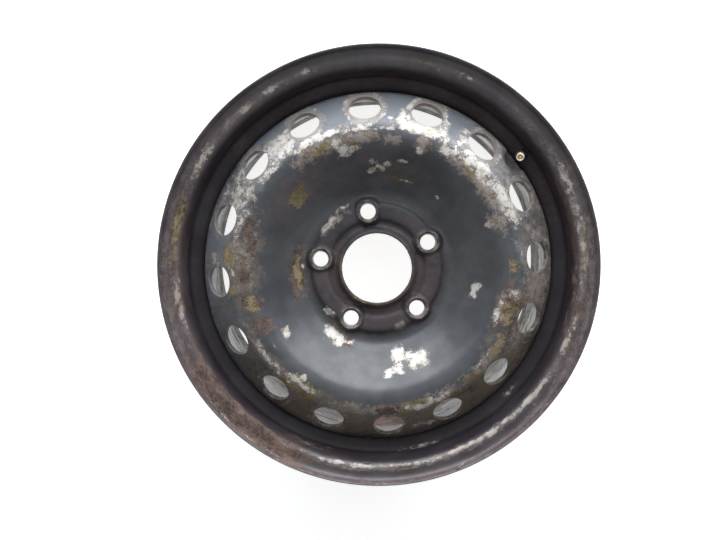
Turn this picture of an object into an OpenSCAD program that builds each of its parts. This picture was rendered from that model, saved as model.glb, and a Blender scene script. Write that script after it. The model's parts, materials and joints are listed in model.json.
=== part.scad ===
// Steel wheel: a rolled rim, a pressed disc welded into its well, and a rubber
// snap-in tyre valve. The wheel lies on its rear flange with its axis along +Z
// and its outer face up. All sizes are in millimetres and degrees.

/* [Rim] */
// Rim diameter at the corner of bead seat and flange
rim_d = 405.6; // [380:0.1:440]
// Width between the two flange walls
rim_w = 165.1; // [150:0.1:190]
// Thickness of the rim sheet
rim_t = 2.8; // [2.2:0.1:3.4]
// Height of the flange above the bead seat corner
flange_h = 17.5; // [15:0.1:20]
// Radius of the flange curl on its tyre side
curl_r = 9.5; // [8:0.1:11]
// Reach of the flange past its wall
flange_w = 12; // [11:0.1:13]
// Radius of the bead seat corner on its tyre side
heel_r = 6.5; // [5:0.1:8]
// Width of the flat bead seat
seat_w = 19.8; // [17:0.1:22]
// Taper of the bead seats
seat_taper = 5; // [0:0.5:8]
// Height of the hump that holds the tyre bead
hump_h = 1.4; // [0.8:0.1:2]
// Depth of the well below the bead seat corner
well_depth = 17.5; // [16.5:0.1:20]
// Lean of the front well wall, in which the valve sits
well_lean = 19; // [14:1:24]
// Width of the well floor
well_floor = 33; // [28:1:42]
// Rise of the barrel behind the well
barrel_rise = 12.5; // [9:0.1:14]
// Length of the slope behind the well
barrel_slope = 27; // [22:1:34]

/* [Disc] */
// Thickness of the disc sheet
disc_t = 4; // [3:0.1:4.6]
// Distance of the hub face in front of the rim's middle plane
offset_et = 50; // [46:1:53]
// Diameter of the centre bore
bore_d = 72.6; // [56:0.1:76]
// Height of the bore collar above the hub face
collar_h = 13.2; // [11:0.1:16]
// Thickness of the bore collar at its rim
collar_t = 3.4; // [2.6:0.1:4.2]
// Reach of the bore collar's foot past the bore
collar_w = 6.9; // [6:0.1:7.4]
// Length of the straight wall of the bore
bore_len = 6.6; // [5:0.1:8]
// Bolt circle diameter
bolt_pcd = 120; // [114:0.1:124]
// Number of bolt holes
bolt_count = 5; // [4:1:6]
// Diameter of the bolt holes
bolt_d = 16; // [13:0.1:17]
// Diameter of the raised pad round each bolt hole, at its foot
bolt_pad_d = 31; // [28:0.5:34]
// Height of the pads above the bolt ridge
bolt_pad_h = 2.4; // [1.5:0.1:3.5]
// Height of the bolt ridge above the valleys beside it
ridge_h = 4; // [2:0.1:6]
// Width of the top of the bolt ridge
ridge_w = 14; // [11:0.5:16]
// Width of the flank on each side of the bolt ridge
flank_w = 4; // [3:0.5:5]
// Width of the flat ring that meets the hub, outside the bolt ridge
valley_w = 8.5; // [6:0.5:11]
// Share of the dish's width at which it bends
knee_out = 0.316; // [0.25:0.002:0.4]
// Share of the dish's rise by which the bend hangs below a straight dish
knee_sag = 0.05; // [0.03:0.002:0.18]
// Radius of the soft bend part way up the dish
knee_r = 60; // [30:1:60]
// Distance of the crest's corner in from the disc's edge
crest_in = 48.25; // [45:0.25:51]
// Radius of the rounded crest
crest_r = 24; // [18:1:28]
// Radius of the shoulder outside the vents
shoulder_r = 11.6; // [9:0.1:13]
// Depth of the turned-back edge behind the hub face
edge_depth = 18; // [15:1:22]
// Turn of the first bolt hole and vent from the X axis
clocking = 27; // [0:1:72]

/* [Vents] */
// Number of round vents
vent_count = 16; // [8:1:18]
// Diameter of each vent
vent_d = 32.5; // [20:0.5:36]
// Distance of the vent circle in from the disc's edge
vent_in = 19.45; // [17:0.05:22]
// Height of the vent circle above the hub face
vent_up = 26.5; // [24:0.5:29]
// Lean of the slope that carries the vents
vent_lean = 37; // [33:1:41]

/* [Welds] */
// Number of weld runs round the disc's edge
weld_count = 8; // [6:1:12]
// Share of the edge that the runs cover
weld_share = 0.55; // [0.3:0.05:0.8]
// Leg of the weld fillet
weld_leg = 4.2; // [3:0.1:5]

/* [Valve] */
// Diameter of the valve hole in the rim
valve_hole_d = 11.4; // [11.2:0.1:12]
// Length of the valve outside the rim
valve_len = 33; // [28:0.5:40]
// Diameter of the stem at its mouth, over the thread
stem_d = 7.7; // [7:0.1:8.2]
// Stroke of the valve pin
pin_stroke = 1.2; // [0.6:0.1:1.6]

/* [Hidden] */
$fn = 96;
// Air gap between pieces that are pressed or screwed together
seat_gap = 0.05;
// Radial running clearance of the valve pin
pin_gap = 0.05;
// Overrun of cutting shapes past the faces they cut
over = 1;
// Turn between two points of a bend
bend_step = 7.5;

function unit(v) = v / norm(v);
function left_of(v) = [-v.y, v.x];
function cross2(a, b) = a.x * b.y - a.y * b.x;
function flat(p) = [p.x, p.y];
function reversed(list) = [for (i = [len(list) - 1:-1:0]) list[i]];

// Points of the round bend of radius r that replaces the corner b.
function bend(a, b, c, r) =
    let (u = unit(b - a),
         v = unit(c - b),
         turn = acos(max(-1, min(1, u * v))),
         side = sign(cross2(u, v)))
    r <= 0 || turn < 0.01 ? [b] :
    let (tangent = r * tan(turn / 2),
         start = b - u * tangent,
         centre = start + left_of(u) * side * r,
         from = start - centre,
         steps = max(2, ceil(turn / bend_step)))
    [for (i = [0:steps])
        let (a1 = side * turn * i / steps)
        centre + [from.x * cos(a1) - from.y * sin(a1), from.x * sin(a1) + from.y * cos(a1)]];

// A path of corners [radius, height, bend radius] as a line with round bends.
function rounded(path) = [
    for (i = [0:len(path) - 1])
        each (i == 0 || i == len(path) - 1)
            ? [flat(path[i])]
            : bend(flat(path[i - 1]), flat(path[i]), flat(path[i + 1]), path[i][2])];

// The same path moved by t to the left of its run, with bends on the same centres.
function shifted(path, t) = [
    for (i = [0:len(path) - 1])
        let (last = len(path) - 1,
             u = i == 0 ? undef : unit(flat(path[i]) - flat(path[i - 1])),
             v = i == last ? undef : unit(flat(path[i + 1]) - flat(path[i])),
             n1 = left_of(i == 0 ? v : u),
             n2 = left_of(i == last ? u : v),
             move = (n1 + n2) * t / (1 + n1 * n2),
             side = i == 0 || i == last ? 0 : sign(cross2(u, v)))
        [path[i].x + move.x, path[i].y + move.y, max(0, path[i][2] - side * t)]];

// Rim section, as radius and height above the middle plane, on its tyre side.
wall_z = rim_w / 2;
seat_r = rim_d / 2;
curl_past = asin((flange_w - curl_r) / curl_r);
edge_r = seat_r + flange_h - curl_r + curl_r * cos(curl_past);
hump_foot_r = seat_r - seat_w * tan(seat_taper);
hump_top_r = hump_foot_r + hump_h;
hump_top_z = wall_z - seat_w - 5;
well_r = seat_r - well_depth;
well_top = [hump_top_r - 0.5, hump_top_z - 4.9];
well_front_z = well_top.y - (well_top.x - well_r) * tan(well_lean);
well_rear_z = well_front_z - well_floor;
well_air_r = well_r - rim_t;

function half_section(s) = [
    [edge_r, s * (wall_z + flange_w), 0],
    [edge_r + flange_w * tan(curl_past), s * wall_z, curl_r],
    [seat_r, s * wall_z, heel_r],
    [hump_foot_r, s * (wall_z - seat_w), 5],
    [hump_top_r, s * hump_top_z, 5]];

rim_path = concat(
    half_section(1),
    [[well_top.x, well_top.y, 5],
     [well_r, well_front_z, 5],
     [well_r, well_rear_z, 9],
     [well_r + barrel_rise, well_rear_z - barrel_slope, 14],
     [hump_top_r - 1.6, -hump_top_z + 6, 8]],
    reversed(half_section(-1)));

rim_up = wall_z + flange_w;
rim_section = concat(rounded(rim_path), reversed(rounded(shifted(rim_path, -rim_t))));

// Disc section, as radius and height above the hub face, on its front side.
disc_edge_r = well_air_r - seat_gap;
disc_edge_low = -edge_depth;
bore_r = bore_d / 2;
ridge_in_r = bolt_pcd / 2 - ridge_w / 2;
ridge_out_r = bolt_pcd / 2 + ridge_w / 2;
ridge_foot_r = ridge_in_r - flank_w;
ridge_foot_bend = disc_t + 0.5;
dish_foot = [ridge_out_r + flank_w + valley_w, disc_t];
vent_ring_r = disc_edge_r - vent_in;
crest = [disc_edge_r - crest_in, vent_up + (crest_in - vent_in) * tan(vent_lean)];
// The knee is where the low and the high slope of the dish meet.
knee = [dish_foot.x + knee_out * (crest.x - dish_foot.x),
        dish_foot.y + (knee_out - knee_sag) * (crest.y - dish_foot.y)];
shoulder_up = vent_up - vent_in * tan(vent_lean);

// The bend at the collar's foot takes what the bend of the bolt ridge leaves free.
ridge_bend_len = ridge_foot_bend * tan(atan(ridge_h / flank_w) / 2);
collar_lean = atan((collar_h - disc_t) / (collar_w - collar_t));
collar_bend = min(1.15 * disc_t, (ridge_foot_r - bore_r - collar_w - ridge_bend_len) / tan(collar_lean / 2));

outer_front = [
    [ridge_foot_r, disc_t, ridge_foot_bend],
    [ridge_in_r, disc_t + ridge_h, 1.5 * disc_t],
    [ridge_out_r, disc_t + ridge_h, 1.5 * disc_t],
    [ridge_out_r + flank_w, disc_t, 1.25 * disc_t],
    [dish_foot.x, dish_foot.y, 2.5 * disc_t],
    [knee.x, knee.y, knee_r],
    [crest.x, crest.y, crest_r],
    [disc_edge_r, shoulder_up, shoulder_r],
    [disc_edge_r, disc_edge_low, 0]];
outer_back = shifted(outer_front, -disc_t);
front_path = concat(
    [[bore_r, collar_h, 0],
     [bore_r + collar_t, collar_h, 0.4 * collar_t],
     [bore_r + collar_w, disc_t, collar_bend]],
    outer_front);
back_path = concat(
    [[bore_r, collar_h - bore_len, 0],
     [bore_r + collar_w - disc_t * tan(collar_lean / 2), 0, 1.25 * disc_t]],
    [for (i = [0:len(outer_back) - 1]) outer_back[i]]);
hub_z = rim_up + offset_et;

// Bolt seats: a raised pad with a cone that starts part way down the hole.
bolt_r = bolt_d / 2;
pad_r = bolt_pad_d / 2;
pad_top_up = disc_t + ridge_h + bolt_pad_h;
seat_low_up = ridge_h + disc_t / 2;
pad_slope_w = 1.5 * bolt_pad_h;
seat_half_angle = 30;

// Valve line: from the air side of the front well wall to the mouth of the stem.
well_top_flat = 5 * tan((90 - well_lean) / 2 + 1.5);
wall_dir = [-cos(well_lean), -sin(well_lean)];
valve_dir = [-sin(well_lean), cos(well_lean)];
body_r = 6.6;
valve_seat = well_top + wall_dir * (well_top_flat + body_r + 0.2) + valve_dir * rim_t;
valve_turn = clocking + 180 / vent_count;
valve_hole_r = valve_hole_d / 2;
stem_r = stem_d / 2;
stem_low = -9.2;
stem_tube_r = 3.2;
thread_low = valve_len - 11;
air_r = 1.95;
mouth_r = 2.65;
mouth_low = valve_len - 8.5;
pin_top = valve_len - 0.15;
core_top = pin_top - pin_stroke - pin_gap;
core_r = mouth_r - seat_gap;
barrel_r = 1.65;
barrel_low = valve_len - 18;
spring_room_r = 1.25;
spring_low = barrel_low + 1.2;
spring_high = barrel_low + 9;
pin_r = 0.65;
collar_r = 1.15;
plunger_r = 1.55;
spring_turns = 6;
wire_r = 0.13;
coil_r = 0.95;

// Clearance bay pressed into the disc's shoulder beside the valve.
bay_r = body_r + 7.4;
bay_shift = 1.5;
bay_low = 2;
bay_len = 2 * valve_len;

// Places its children with +Z along the valve line and zero at the rim's air side.
module on_valve_line() {
    rotate([0, 0, valve_turn])
        translate([valve_seat.x, 0, rim_up + valve_seat.y])
            rotate([0, -well_lean, 0])
                children();
}

// Places a child at each of n equal turns from the first bolt hole.
module around(n) {
    for (i = [0:n - 1]) {
        rotate([0, 0, clocking + i * 360 / n]) children();
    }
}

// Rolled hoop with the valve hole.
module rim() {
    color([0.16, 0.16, 0.18])
    difference() {
        translate([0, 0, rim_up]) rotate_extrude($fn = 240) polygon(rim_section);
        on_valve_line()
            translate([0, 0, -rim_t - 4]) cylinder(r = valve_hole_r, h = rim_t + 6, $fn = 48);
    }
}

// Everything behind the front face of the disc, down to its edge.
module disc_front_fill() {
    rotate_extrude($fn = 240)
        polygon(concat(rounded(front_path), [[bore_r, disc_edge_low]]));
}

// Everything behind the back face of the disc.
module disc_back_fill() {
    low = disc_edge_low - over;
    inner_r = disc_edge_r - disc_t;
    points = rounded(back_path);
    rotate_extrude($fn = 240)
        polygon(concat([[bore_r - over, points[0].y]], points, [[inner_r, low], [bore_r - over, low]]));
}

// Raised pads that the bolts seat on.
module bolt_pads() {
    around(bolt_count)
        translate([bolt_pcd / 2, 0, ridge_h + disc_t / 4])
            cylinder(r1 = pad_r, r2 = pad_r - pad_slope_w, h = bolt_pad_h + 0.75 * disc_t, $fn = 64);
}

// Bolt holes with their conical seats.
module bolt_holes() {
    cone_h = pad_top_up - seat_low_up + over;
    around(bolt_count)
        translate([bolt_pcd / 2, 0, 0]) {
            translate([0, 0, -over]) cylinder(r = bolt_r, h = pad_top_up + 2 * over, $fn = 64);
            translate([0, 0, seat_low_up])
                cylinder(r1 = bolt_r, r2 = bolt_r + cone_h * tan(seat_half_angle), h = cone_h, $fn = 64);
        }
}

// Vent holes, punched square to the slope.
module vents() {
    around(vent_count)
        translate([vent_ring_r, 0, vent_up])
            rotate([0, vent_lean, 0])
                translate([0, 0, -3 * disc_t]) cylinder(d = vent_d, h = 5 * disc_t, $fn = 72);
}

// Room for the valve, as a bar beside it that the shoulder is pressed round.
module valve_bay(grow) {
    rotate([0, 0, valve_turn])
        translate([valve_seat.x, 0, rim_up + valve_seat.y - hub_z])
            rotate([0, -well_lean, 0])
                translate([-bay_shift, 0, bay_low - grow])
                    cylinder(r = bay_r + grow, h = bay_len, $fn = 72);
}

// Pressed disc.
module disc() {
    color([0.18, 0.18, 0.2])
    translate([0, 0, hub_z])
    difference() {
        union() {
            disc_front_fill();
            bolt_pads();
        }
        valve_bay(0);
        difference() {
            disc_back_fill();
            valve_bay(disc_t);
        }
        bolt_holes();
        vents();
    }
}

// Fillet weld runs between the disc's edge and the floor of the well.
module disc_welds() {
    run = 360 / weld_count * weld_share;
    color([0.3, 0.27, 0.25])
    translate([0, 0, hub_z + disc_edge_low])
        around(weld_count)
            rotate([0, 0, -run / 2])
                rotate_extrude(angle = run, $fn = 240)
                    polygon([[well_air_r - seat_gap, -seat_gap],
                             [well_air_r - seat_gap, -weld_leg],
                             [well_air_r - weld_leg * 0.62, -weld_leg * 0.62],
                             [well_air_r - weld_leg, -seat_gap]]);
}

// Rubber body: bulb inside the rim, neck in the hole, shoulder and taper outside.
module valve_body() {
    neck_r = valve_hole_r - seat_gap;
    inner_r = stem_tube_r + seat_gap;
    color([0.05, 0.05, 0.05])
    on_valve_line()
        rotate_extrude($fn = 72)
            polygon([[inner_r, -11.4],
                     [4.8, -11.4],
                     [7.2, -9.2],
                     [7.7, -7.4],
                     [6.2, -rim_t - seat_gap],
                     [neck_r, -rim_t - seat_gap],
                     [neck_r, seat_gap],
                     [body_r, seat_gap],
                     [body_r, 2.2],
                     [5.9, 4],
                     [5.2, thread_low - 2],
                     [4.9, thread_low - 0.6],
                     [4.3, thread_low],
                     [inner_r, thread_low]]);
}

// Brass tube: plain inside the rubber, full diameter at the threaded mouth.
module valve_stem() {
    color([0.75, 0.6, 0.3])
    on_valve_line()
        rotate_extrude($fn = 72)
            polygon([[air_r, stem_low],
                     [stem_tube_r, stem_low],
                     [stem_tube_r, thread_low + seat_gap],
                     [stem_r, thread_low + seat_gap],
                     [stem_r, valve_len - 0.6],
                     [stem_r - 0.5, valve_len],
                     [mouth_r + 0.25, valve_len],
                     [mouth_r, valve_len - 0.3],
                     [mouth_r, mouth_low],
                     [air_r, mouth_low - 1.6]]);
}

// Core housing: screwed plug with two wrench slots over a thin barrel.
module valve_core() {
    plug_low = core_top - 5.4;
    color([0.8, 0.68, 0.4])
    on_valve_line()
        difference() {
            rotate_extrude($fn = 64)
                polygon([[pin_r + pin_gap, barrel_low],
                         [barrel_r, barrel_low],
                         [barrel_r, plug_low],
                         [core_r, plug_low],
                         [core_r, core_top],
                         [pin_r + pin_gap, core_top],
                         [pin_r + pin_gap, spring_high + 1.6],
                         [spring_room_r, spring_high + 1.6],
                         [spring_room_r, spring_low],
                         [pin_r + pin_gap, spring_low]]);
            for (s = [-1, 1]) {
                translate([s * (core_r + 1.35), 0, core_top - 1.2])
                    translate([-1.25, -4, 0]) cube([2.5, 8, 3]);
            }
        }
}

// Sealing ring that closes the gap between the core's barrel and the stem.
module valve_core_seal() {
    color([0.75, 0.2, 0.15])
    on_valve_line()
        rotate_extrude($fn = 64)
            polygon([[barrel_r + 0.02, mouth_low - 1.5],
                     [air_r + 0.02, mouth_low - 1.3],
                     [mouth_r - 0.1, mouth_low + 0.2],
                     [mouth_r - 0.1, mouth_low + 1],
                     [barrel_r + 0.02, mouth_low + 1]]);
}

// Pin with its spring collar and the plunger that closes the barrel.
module valve_pin() {
    color([0.7, 0.7, 0.72])
    on_valve_line()
        rotate_extrude($fn = 48)
            polygon([[0, barrel_low - 2.6],
                     [plunger_r - 0.4, barrel_low - 2.6],
                     [plunger_r, barrel_low - 2.2],
                     [plunger_r, barrel_low - 0.1],
                     [pin_r, barrel_low - 0.1],
                     [pin_r, spring_high],
                     [collar_r, spring_high],
                     [collar_r, spring_high + 0.7],
                     [pin_r, spring_high + 0.7],
                     [pin_r, pin_top - 0.2],
                     [pin_r - 0.2, pin_top],
                     [0, pin_top]]);
}

// Coil spring between the barrel's floor and the pin's collar.
module valve_spring() {
    sides = 6;
    per_turn = 16;
    rings = spring_turns * per_turn;
    low = spring_low + wire_r;
    rise = spring_high - spring_low - 2 * wire_r;
    points = [
        for (i = [0:rings], j = [0:sides - 1])
            let (a = 360 * i / per_turn,
                 b = 360 * j / sides,
                 r = coil_r + wire_r * cos(b))
            [r * cos(a), r * sin(a), low + rise * i / rings + wire_r * sin(b)]];
    skin = [
        for (i = [0:rings - 1], j = [0:sides - 1])
            let (k = (j + 1) % sides)
            each [[i * sides + j, (i + 1) * sides + j, (i + 1) * sides + k],
                  [i * sides + j, (i + 1) * sides + k, i * sides + k]]];
    ends = concat([[for (j = [0:sides - 1]) j]],
                  [[for (j = [sides - 1:-1:0]) rings * sides + j]]);
    color([0.7, 0.7, 0.7])
    on_valve_line()
        polyhedron(points = points, faces = concat(skin, ends));
}

rim();
disc();
disc_welds();
valve_body();
valve_stem();
valve_core();
valve_core_seal();
valve_pin();
valve_spring();
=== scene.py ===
"""Dresses a steel wheel around its solids.

Rolled rim, pressed disc, welds and tyre valve, in black paint that is worn to undercoat, rust and steel.
"""

import json
import math

import bmesh
import bpy
import numpy as np
from bpy.props import FloatProperty, FloatVectorProperty, IntProperty, PointerProperty
from mathutils import Matrix, Vector


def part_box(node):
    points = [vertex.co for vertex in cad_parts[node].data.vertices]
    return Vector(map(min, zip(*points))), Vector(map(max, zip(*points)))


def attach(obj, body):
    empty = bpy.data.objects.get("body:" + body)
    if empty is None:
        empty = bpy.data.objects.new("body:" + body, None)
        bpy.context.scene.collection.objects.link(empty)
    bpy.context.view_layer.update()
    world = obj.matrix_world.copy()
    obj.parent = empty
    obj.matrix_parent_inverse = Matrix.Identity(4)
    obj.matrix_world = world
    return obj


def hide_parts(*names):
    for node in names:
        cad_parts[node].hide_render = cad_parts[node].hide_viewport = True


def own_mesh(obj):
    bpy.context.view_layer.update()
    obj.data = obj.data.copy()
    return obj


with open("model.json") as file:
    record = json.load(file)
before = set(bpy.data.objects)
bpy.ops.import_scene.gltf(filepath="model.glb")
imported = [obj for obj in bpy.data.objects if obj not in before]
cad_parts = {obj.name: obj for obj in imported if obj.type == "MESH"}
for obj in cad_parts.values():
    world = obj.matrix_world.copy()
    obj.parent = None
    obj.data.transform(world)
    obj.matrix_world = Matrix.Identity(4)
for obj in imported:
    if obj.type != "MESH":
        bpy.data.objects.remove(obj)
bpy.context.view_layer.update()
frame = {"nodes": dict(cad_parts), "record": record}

bl_info = {
    "name": "Steel wheel",
    "version": (1, 0, 0),
    "blender": (4, 5, 0),
    "location": "View3D > Sidebar > Wheel",
    "description": "Turns the sheet metal of a steel wheel and gives it worn black paint",
    "category": "Object",
}

MM = 0.001
WHEEL_BODY = "wheel"
MERGE_DISTANCE = 0.002 * MM
MOUNTS = {mount["name"]: mount for mount in frame["record"]["mounts"]}
HUB_FACE_Z = MOUNTS["hub_face"]["pos_m"][2]
BOLT_CIRCLE_R = MOUNTS["bolts"]["dims"]["pcd_mm"] * MM / 2
BOLT_COUNT = MOUNTS["bolts"]["dims"]["count"]
BOLT_HOLE_R = MOUNTS["bolts"]["dims"]["hole_r_mm"] * MM
BORE_R = MOUNTS["hub_bore"]["dims"]["r_mm"] * MM
VALVE_AXIS = Vector(MOUNTS["valve_mouth"]["axis"]).normalized()
THREAD_MIDDLE = Vector(MOUNTS["valve_mouth"]["pos_m"])
THREAD_R = MOUNTS["valve_mouth"]["dims"]["r_mm"] * MM
THREAD_LENGTH = MOUNTS["valve_mouth"]["dims"]["length_mm"] * MM
RIM_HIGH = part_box("rim")[1]

# Sections: fewest points of an outline, samples for each of them, how much finer the disc's collar is
# and how wide, and the steps of the rim against the disc's and of the valve's pieces.
FEWEST_POINTS = 12
SAMPLES_PER_POINT = 8
COLLAR_FINER = 3
COLLAR_WIDTH = 3 * MM
RIM_STEP_SHARE = 1.3
RUBBER_STEP = 0.4 * MM
STEM_STEP = 0.2 * MM
VALVE_TURN_STEPS = 72
# Pressed forms of the disc: fillet to the sheet, how far out the sheet moves as a share of the form's
# radius, run of a pad's side for its rise, and height of the bay's floor and of the ease above it.
PAD_FILLET = 2.2 * MM
PAD_REACH = 1.6
PAD_SIDE_RUN = 2 / 3
BAY_FILLET = 2.5 * MM
BAY_REACH = 1.4
BAY_FLOOR_UP = 2 * MM
BAY_EASE = 4 * MM
# Punches: rounding of a vent's edge and its turn in degrees, flare of the vent punch above the sheet,
# slope of a bolt seat, start and widening of its mouth, and how far each punch goes past the sheet.
EDGE_ROLL = 0.7 * MM
EDGE_TURN = 80
VENT_FLARE = 0.6
VENT_SPAN_SHEETS = (-3, 2)
SEAT_SLOPE = math.tan(math.radians(30))
MOUTH_BELOW_TOP = 0.5 * MM
MOUTH_FLARE = 1.2 * MM
BOLT_PUNCH_LOW = -4 * MM
BOLT_PUNCH_OVER = 2 * MM
VALVE_SPAN = (-8 * MM, 5 * MM)
# Welds and valve: roundness of a bead's section and angle of its sharp edges in degrees, flank as a share
# of the pitch and crest as a share of the flank in the thread's ridge, how far the ridge is sunk into the
# stem, passes that round the rubber's corners, and sides of the spring's wire.
WELD_BULGE = 1.5
WELD_SHARP = 60
FLANK_SHARE = 0.42
CREST_SHARE = 0.15
RIDGE_SINK = 0.1 * MM
RUBBER_PASSES = 3
WIRE_SIDES = 10
# Lamps in metres: place, point that each is aimed at, width and height.
LAMPS = {
    "overhead_box": ((0.1, 1.2, 0.72), (0, 0, HUB_FACE_Z), 2.6, 0.9),
    "front_box": ((0.2, 0.55, 1.5), (0, 0, HUB_FACE_Z), 0.9, 0.9),
    "barrel_lamp": ((0, 0, 0.01), (0, 0, 1), 0.2, 0.2),
}
# Width of the camera's sensor in millimetres.
SENSOR_WIDTH = 36

# Wear on the disc's front, and painted sheen in the dust rows and in some halo and bare rows. Each row is a
# patch:
# first and last clock angle in degrees, inner and outer radius in millimetres, and how completely the layer
# shows there.
DISC_WEAR_AND_SHEEN = {
    "bare": [
        (8, 26, 140, 150, 0.85),
        (8, 11, 146, 163, 0.7),
        (24, 27, 143, 163, 0.75),
        (0, 8, 138, 142, 0.55),
        (4, 6, 149, 153, 0.8),
        (28, 35, 131, 141, 0.75),
        (31, 36, 140, 164, 0.7),
        (33, 52, 136, 150, 0.68),
        (50, 64, 137, 151, 0.68),
        (60, 72, 138, 152, 0.68),
        (43, 56, 132, 139, 0.5),
        (18, 20.5, 121, 127, 0.9),
        (66, 69, 117, 124, 0.7),
        (78, 82, 138, 147, 0.5),
        (345, 360, 137, 141, 0.62),
        (326, 346, 139, 147, 0.8),
        # This bare patch is partly bare steel and partly a painted sheen between the vents.
        (315, 328, 146, 168, 0.75),
        (306, 318, 141, 150, 0.65),
        (291, 306, 141, 176, 0.56),
        (280, 293, 141, 150, 0.5),
        (270, 276, 158, 172, 0.5),
        (0, 4, 101, 108, 0.88),
        (4, 8, 104, 109, 0.82),
        (10, 16, 109, 112, 0.6),
        (12, 22, 94, 97, 0.62),
        (38, 42, 95, 98, 0.5),
        (98, 102, 104, 108, 0.85),
        (99, 106, 100, 105, 0.9),
        (103, 113, 125, 131, 0.68),
        (98, 102, 128, 146, 0.55),
        (126, 134, 138, 140, 0.8),
        (148, 168, 140, 147.5, 0.7),
        (150, 160, 97, 109, 1.0),
        (157, 162, 92, 101, 0.95),
        (162, 169, 87, 99, 1.0),
        (165, 171, 102, 110, 0.85),
        (170, 176, 105, 112, 0.85),
        (159, 167, 167, 172, 0.66),
        (206, 221, 136, 142, 0.72),
        (213, 216, 130, 137, 0.7),
        (222, 240, 138, 146, 0.52),
        (205, 219, 80, 87, 1.0),
        (205, 210, 84, 92, 0.95),
        (196, 203, 82, 86, 0.6),
        (233, 238, 110, 117, 0.75),
        (231, 235, 127, 130, 0.6),
        (271, 273, 76, 79, 1.0),
        (341, 347, 117, 128, 0.8),
        (346, 352, 120, 126, 0.65),
        (340, 344, 128, 134, 0.7),
        (354, 360, 99, 104, 0.6),
        (355, 360, 107, 112, 0.6),
        (222, 232, 66, 71, 0.85),
        # These three bare rows are the worn edge of the hub's ridge with a painted highlight along it.
        (303, 321, 67, 71, 0.95),
        (321, 338, 71, 73.5, 0.62),
        (314, 322, 62, 66, 0.55),
    ],
    "tan": [
        (326, 344, 126, 139, 0.5),
        (346, 352, 124, 131, 0.7),
        (352, 362, 129, 138, 0.55),
        (18, 26, 126, 139, 0.5),
        (38, 47, 128, 138, 0.6),
        (52, 60, 129, 140, 0.5),
        (11, 21, 93, 100, 0.6),
        (66, 71, 121, 129, 0.6),
        (84, 92, 130, 142, 0.5),
        (97, 117, 125, 150, 0.5),
        (118, 128, 137, 150, 0.62),
        (134, 143, 138, 152, 0.7),
        (145, 156, 144, 151, 0.85),
        (157, 170, 138, 149, 0.9),
        (206, 220, 132, 143, 0.8),
        (206, 212, 143, 152, 0.8),
        (214, 221, 142, 153, 0.8),
        (250, 258, 124, 137, 0.55),
        (260, 264, 143, 152, 0.9),
        (270, 279, 144, 156, 0.9),
        (307, 318, 101, 116, 0.9),
        (254, 280, 81, 88, 0.74),
        (198, 220, 36, 42, 0.7),
        (168, 184, 148, 160, 0.42),
        (120, 134, 152, 172, 0.4),
    ],
    "rust": [
        (37, 47, 127, 139, 0.5),
        (52, 60, 130, 141, 0.42),
        (97, 117, 125, 150, 0.72),
        (170, 182, 138, 150, 0.7),
        (166, 186, 150, 178, 0.46),
        (186, 206, 150, 180, 0.36),
        (128, 150, 150, 178, 0.36),
        (198, 206, 80, 90, 0.8),
        (239, 248, 118, 136, 0.8),
        (249, 259, 123, 138, 0.85),
        (262, 276, 128, 139, 0.8),
        (276, 284, 124, 133, 0.8),
        (283, 292, 129, 141, 0.78),
        (287, 292, 128, 150, 0.6),
        (300, 305, 160, 170, 0.6),
        (249, 283, 79, 90, 1.0),
        (303, 321, 97, 119, 0.3),
        (326, 352, 122, 138, 0.44),
        (0, 12, 122, 137, 0.36),
    ],
    "dirt": [
        (70, 250, 148, 182, 0.72),
        (74, 124, 148, 178, 0.75),
        (92, 128, 122, 150, 0.5),
        (160, 250, 136, 154, 0.6),
        (195, 250, 140, 172, 0.55),
        (250, 292, 118, 154, 0.6),
        (290, 336, 95, 122, 0.3),
        (0, 360, 34, 46, 0.4),
        (196, 225, 60, 95, 0.4),
        (250, 290, 70, 95, 0.4),
        (0, 25, 92, 112, 0.35),
    ],
    "film": [
        (0, 360, 30, 74, 0.58),
        (0, 360, 34, 48, 0.6),
        (285, 345, 92, 128, 0.46),
        (338, 392, 78, 124, 0.4),
    ],
    # Dust lightens the outer slope at the top, left and right: partly scuffed paint, partly a painted sheen
    # in place of the overhead light, which the flange shades there.
    "dust": [
        (288, 432, 143, 192, 0.8),
        (238, 300, 148, 188, 0.84),
        (70, 100, 138, 160, 0.5),
    ],
    "halo": [
        (47, 57, 149, 172, 0.5),
        (72, 84, 148, 178, 0.5),
        (84, 106, 148, 180, 0.6),
        (108, 124, 146, 174, 0.5),
        (122, 148, 137, 150, 0.55),
        (168, 198, 137, 149, 0.55),
        (222, 250, 137, 150, 0.42),
        (258, 292, 134, 152, 0.45),
        (322, 350, 124, 140, 0.62),
        (345, 360, 126, 138, 0.7),
        (3, 10, 124, 133, 0.7),
        (16, 22, 124, 140, 0.75),
        (30, 72, 126, 140, 0.72),
        (63, 73, 120, 132, 0.6),
        (250, 300, 124, 137, 0.4),
        # A painted sheen along the hub's ridge, over its worn edge.
        (298, 336, 63, 72, 0.5),
        (153, 163, 62, 70, 0.8),
        (140, 172, 136, 150, 0.6),
        # These two rows lighten the disc's steep outer shoulder: partly worn undercoat, partly painted
        # light where the lamps reach it little.
        (25, 105, 175, 191, 0.62),
        (235, 300, 176, 191, 0.5),
    ],
}
# Patches of the disc's front where the paint has lost its gloss.
DISC_MATTE = [
    (322, 408, 74, 126, 0.5),
]
# Clock angles of the vents whose edge is worn, how far the paint is thinned there,
# and how far it is gone.
VENT_HALOS = [
    (355.5, 0.78, 0.5),
    (18, 0.8, 0.66),
    (333, 0.62, 0.46),
    (40.5, 0.72, 0.5),
    (63, 0.55, 0.46),
    (310.5, 0.5, 0.4),
    (288, 0.42, 0.3),
    (85.5, 0.42, 0.3),
    (220.5, 0.36, 0.32),
    (265.5, 0.36, 0.3),
    (198, 0.5, 0.28),
    (175.5, 0.42, 0.2),
    (108, 0.4, 0.3),
]

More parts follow.
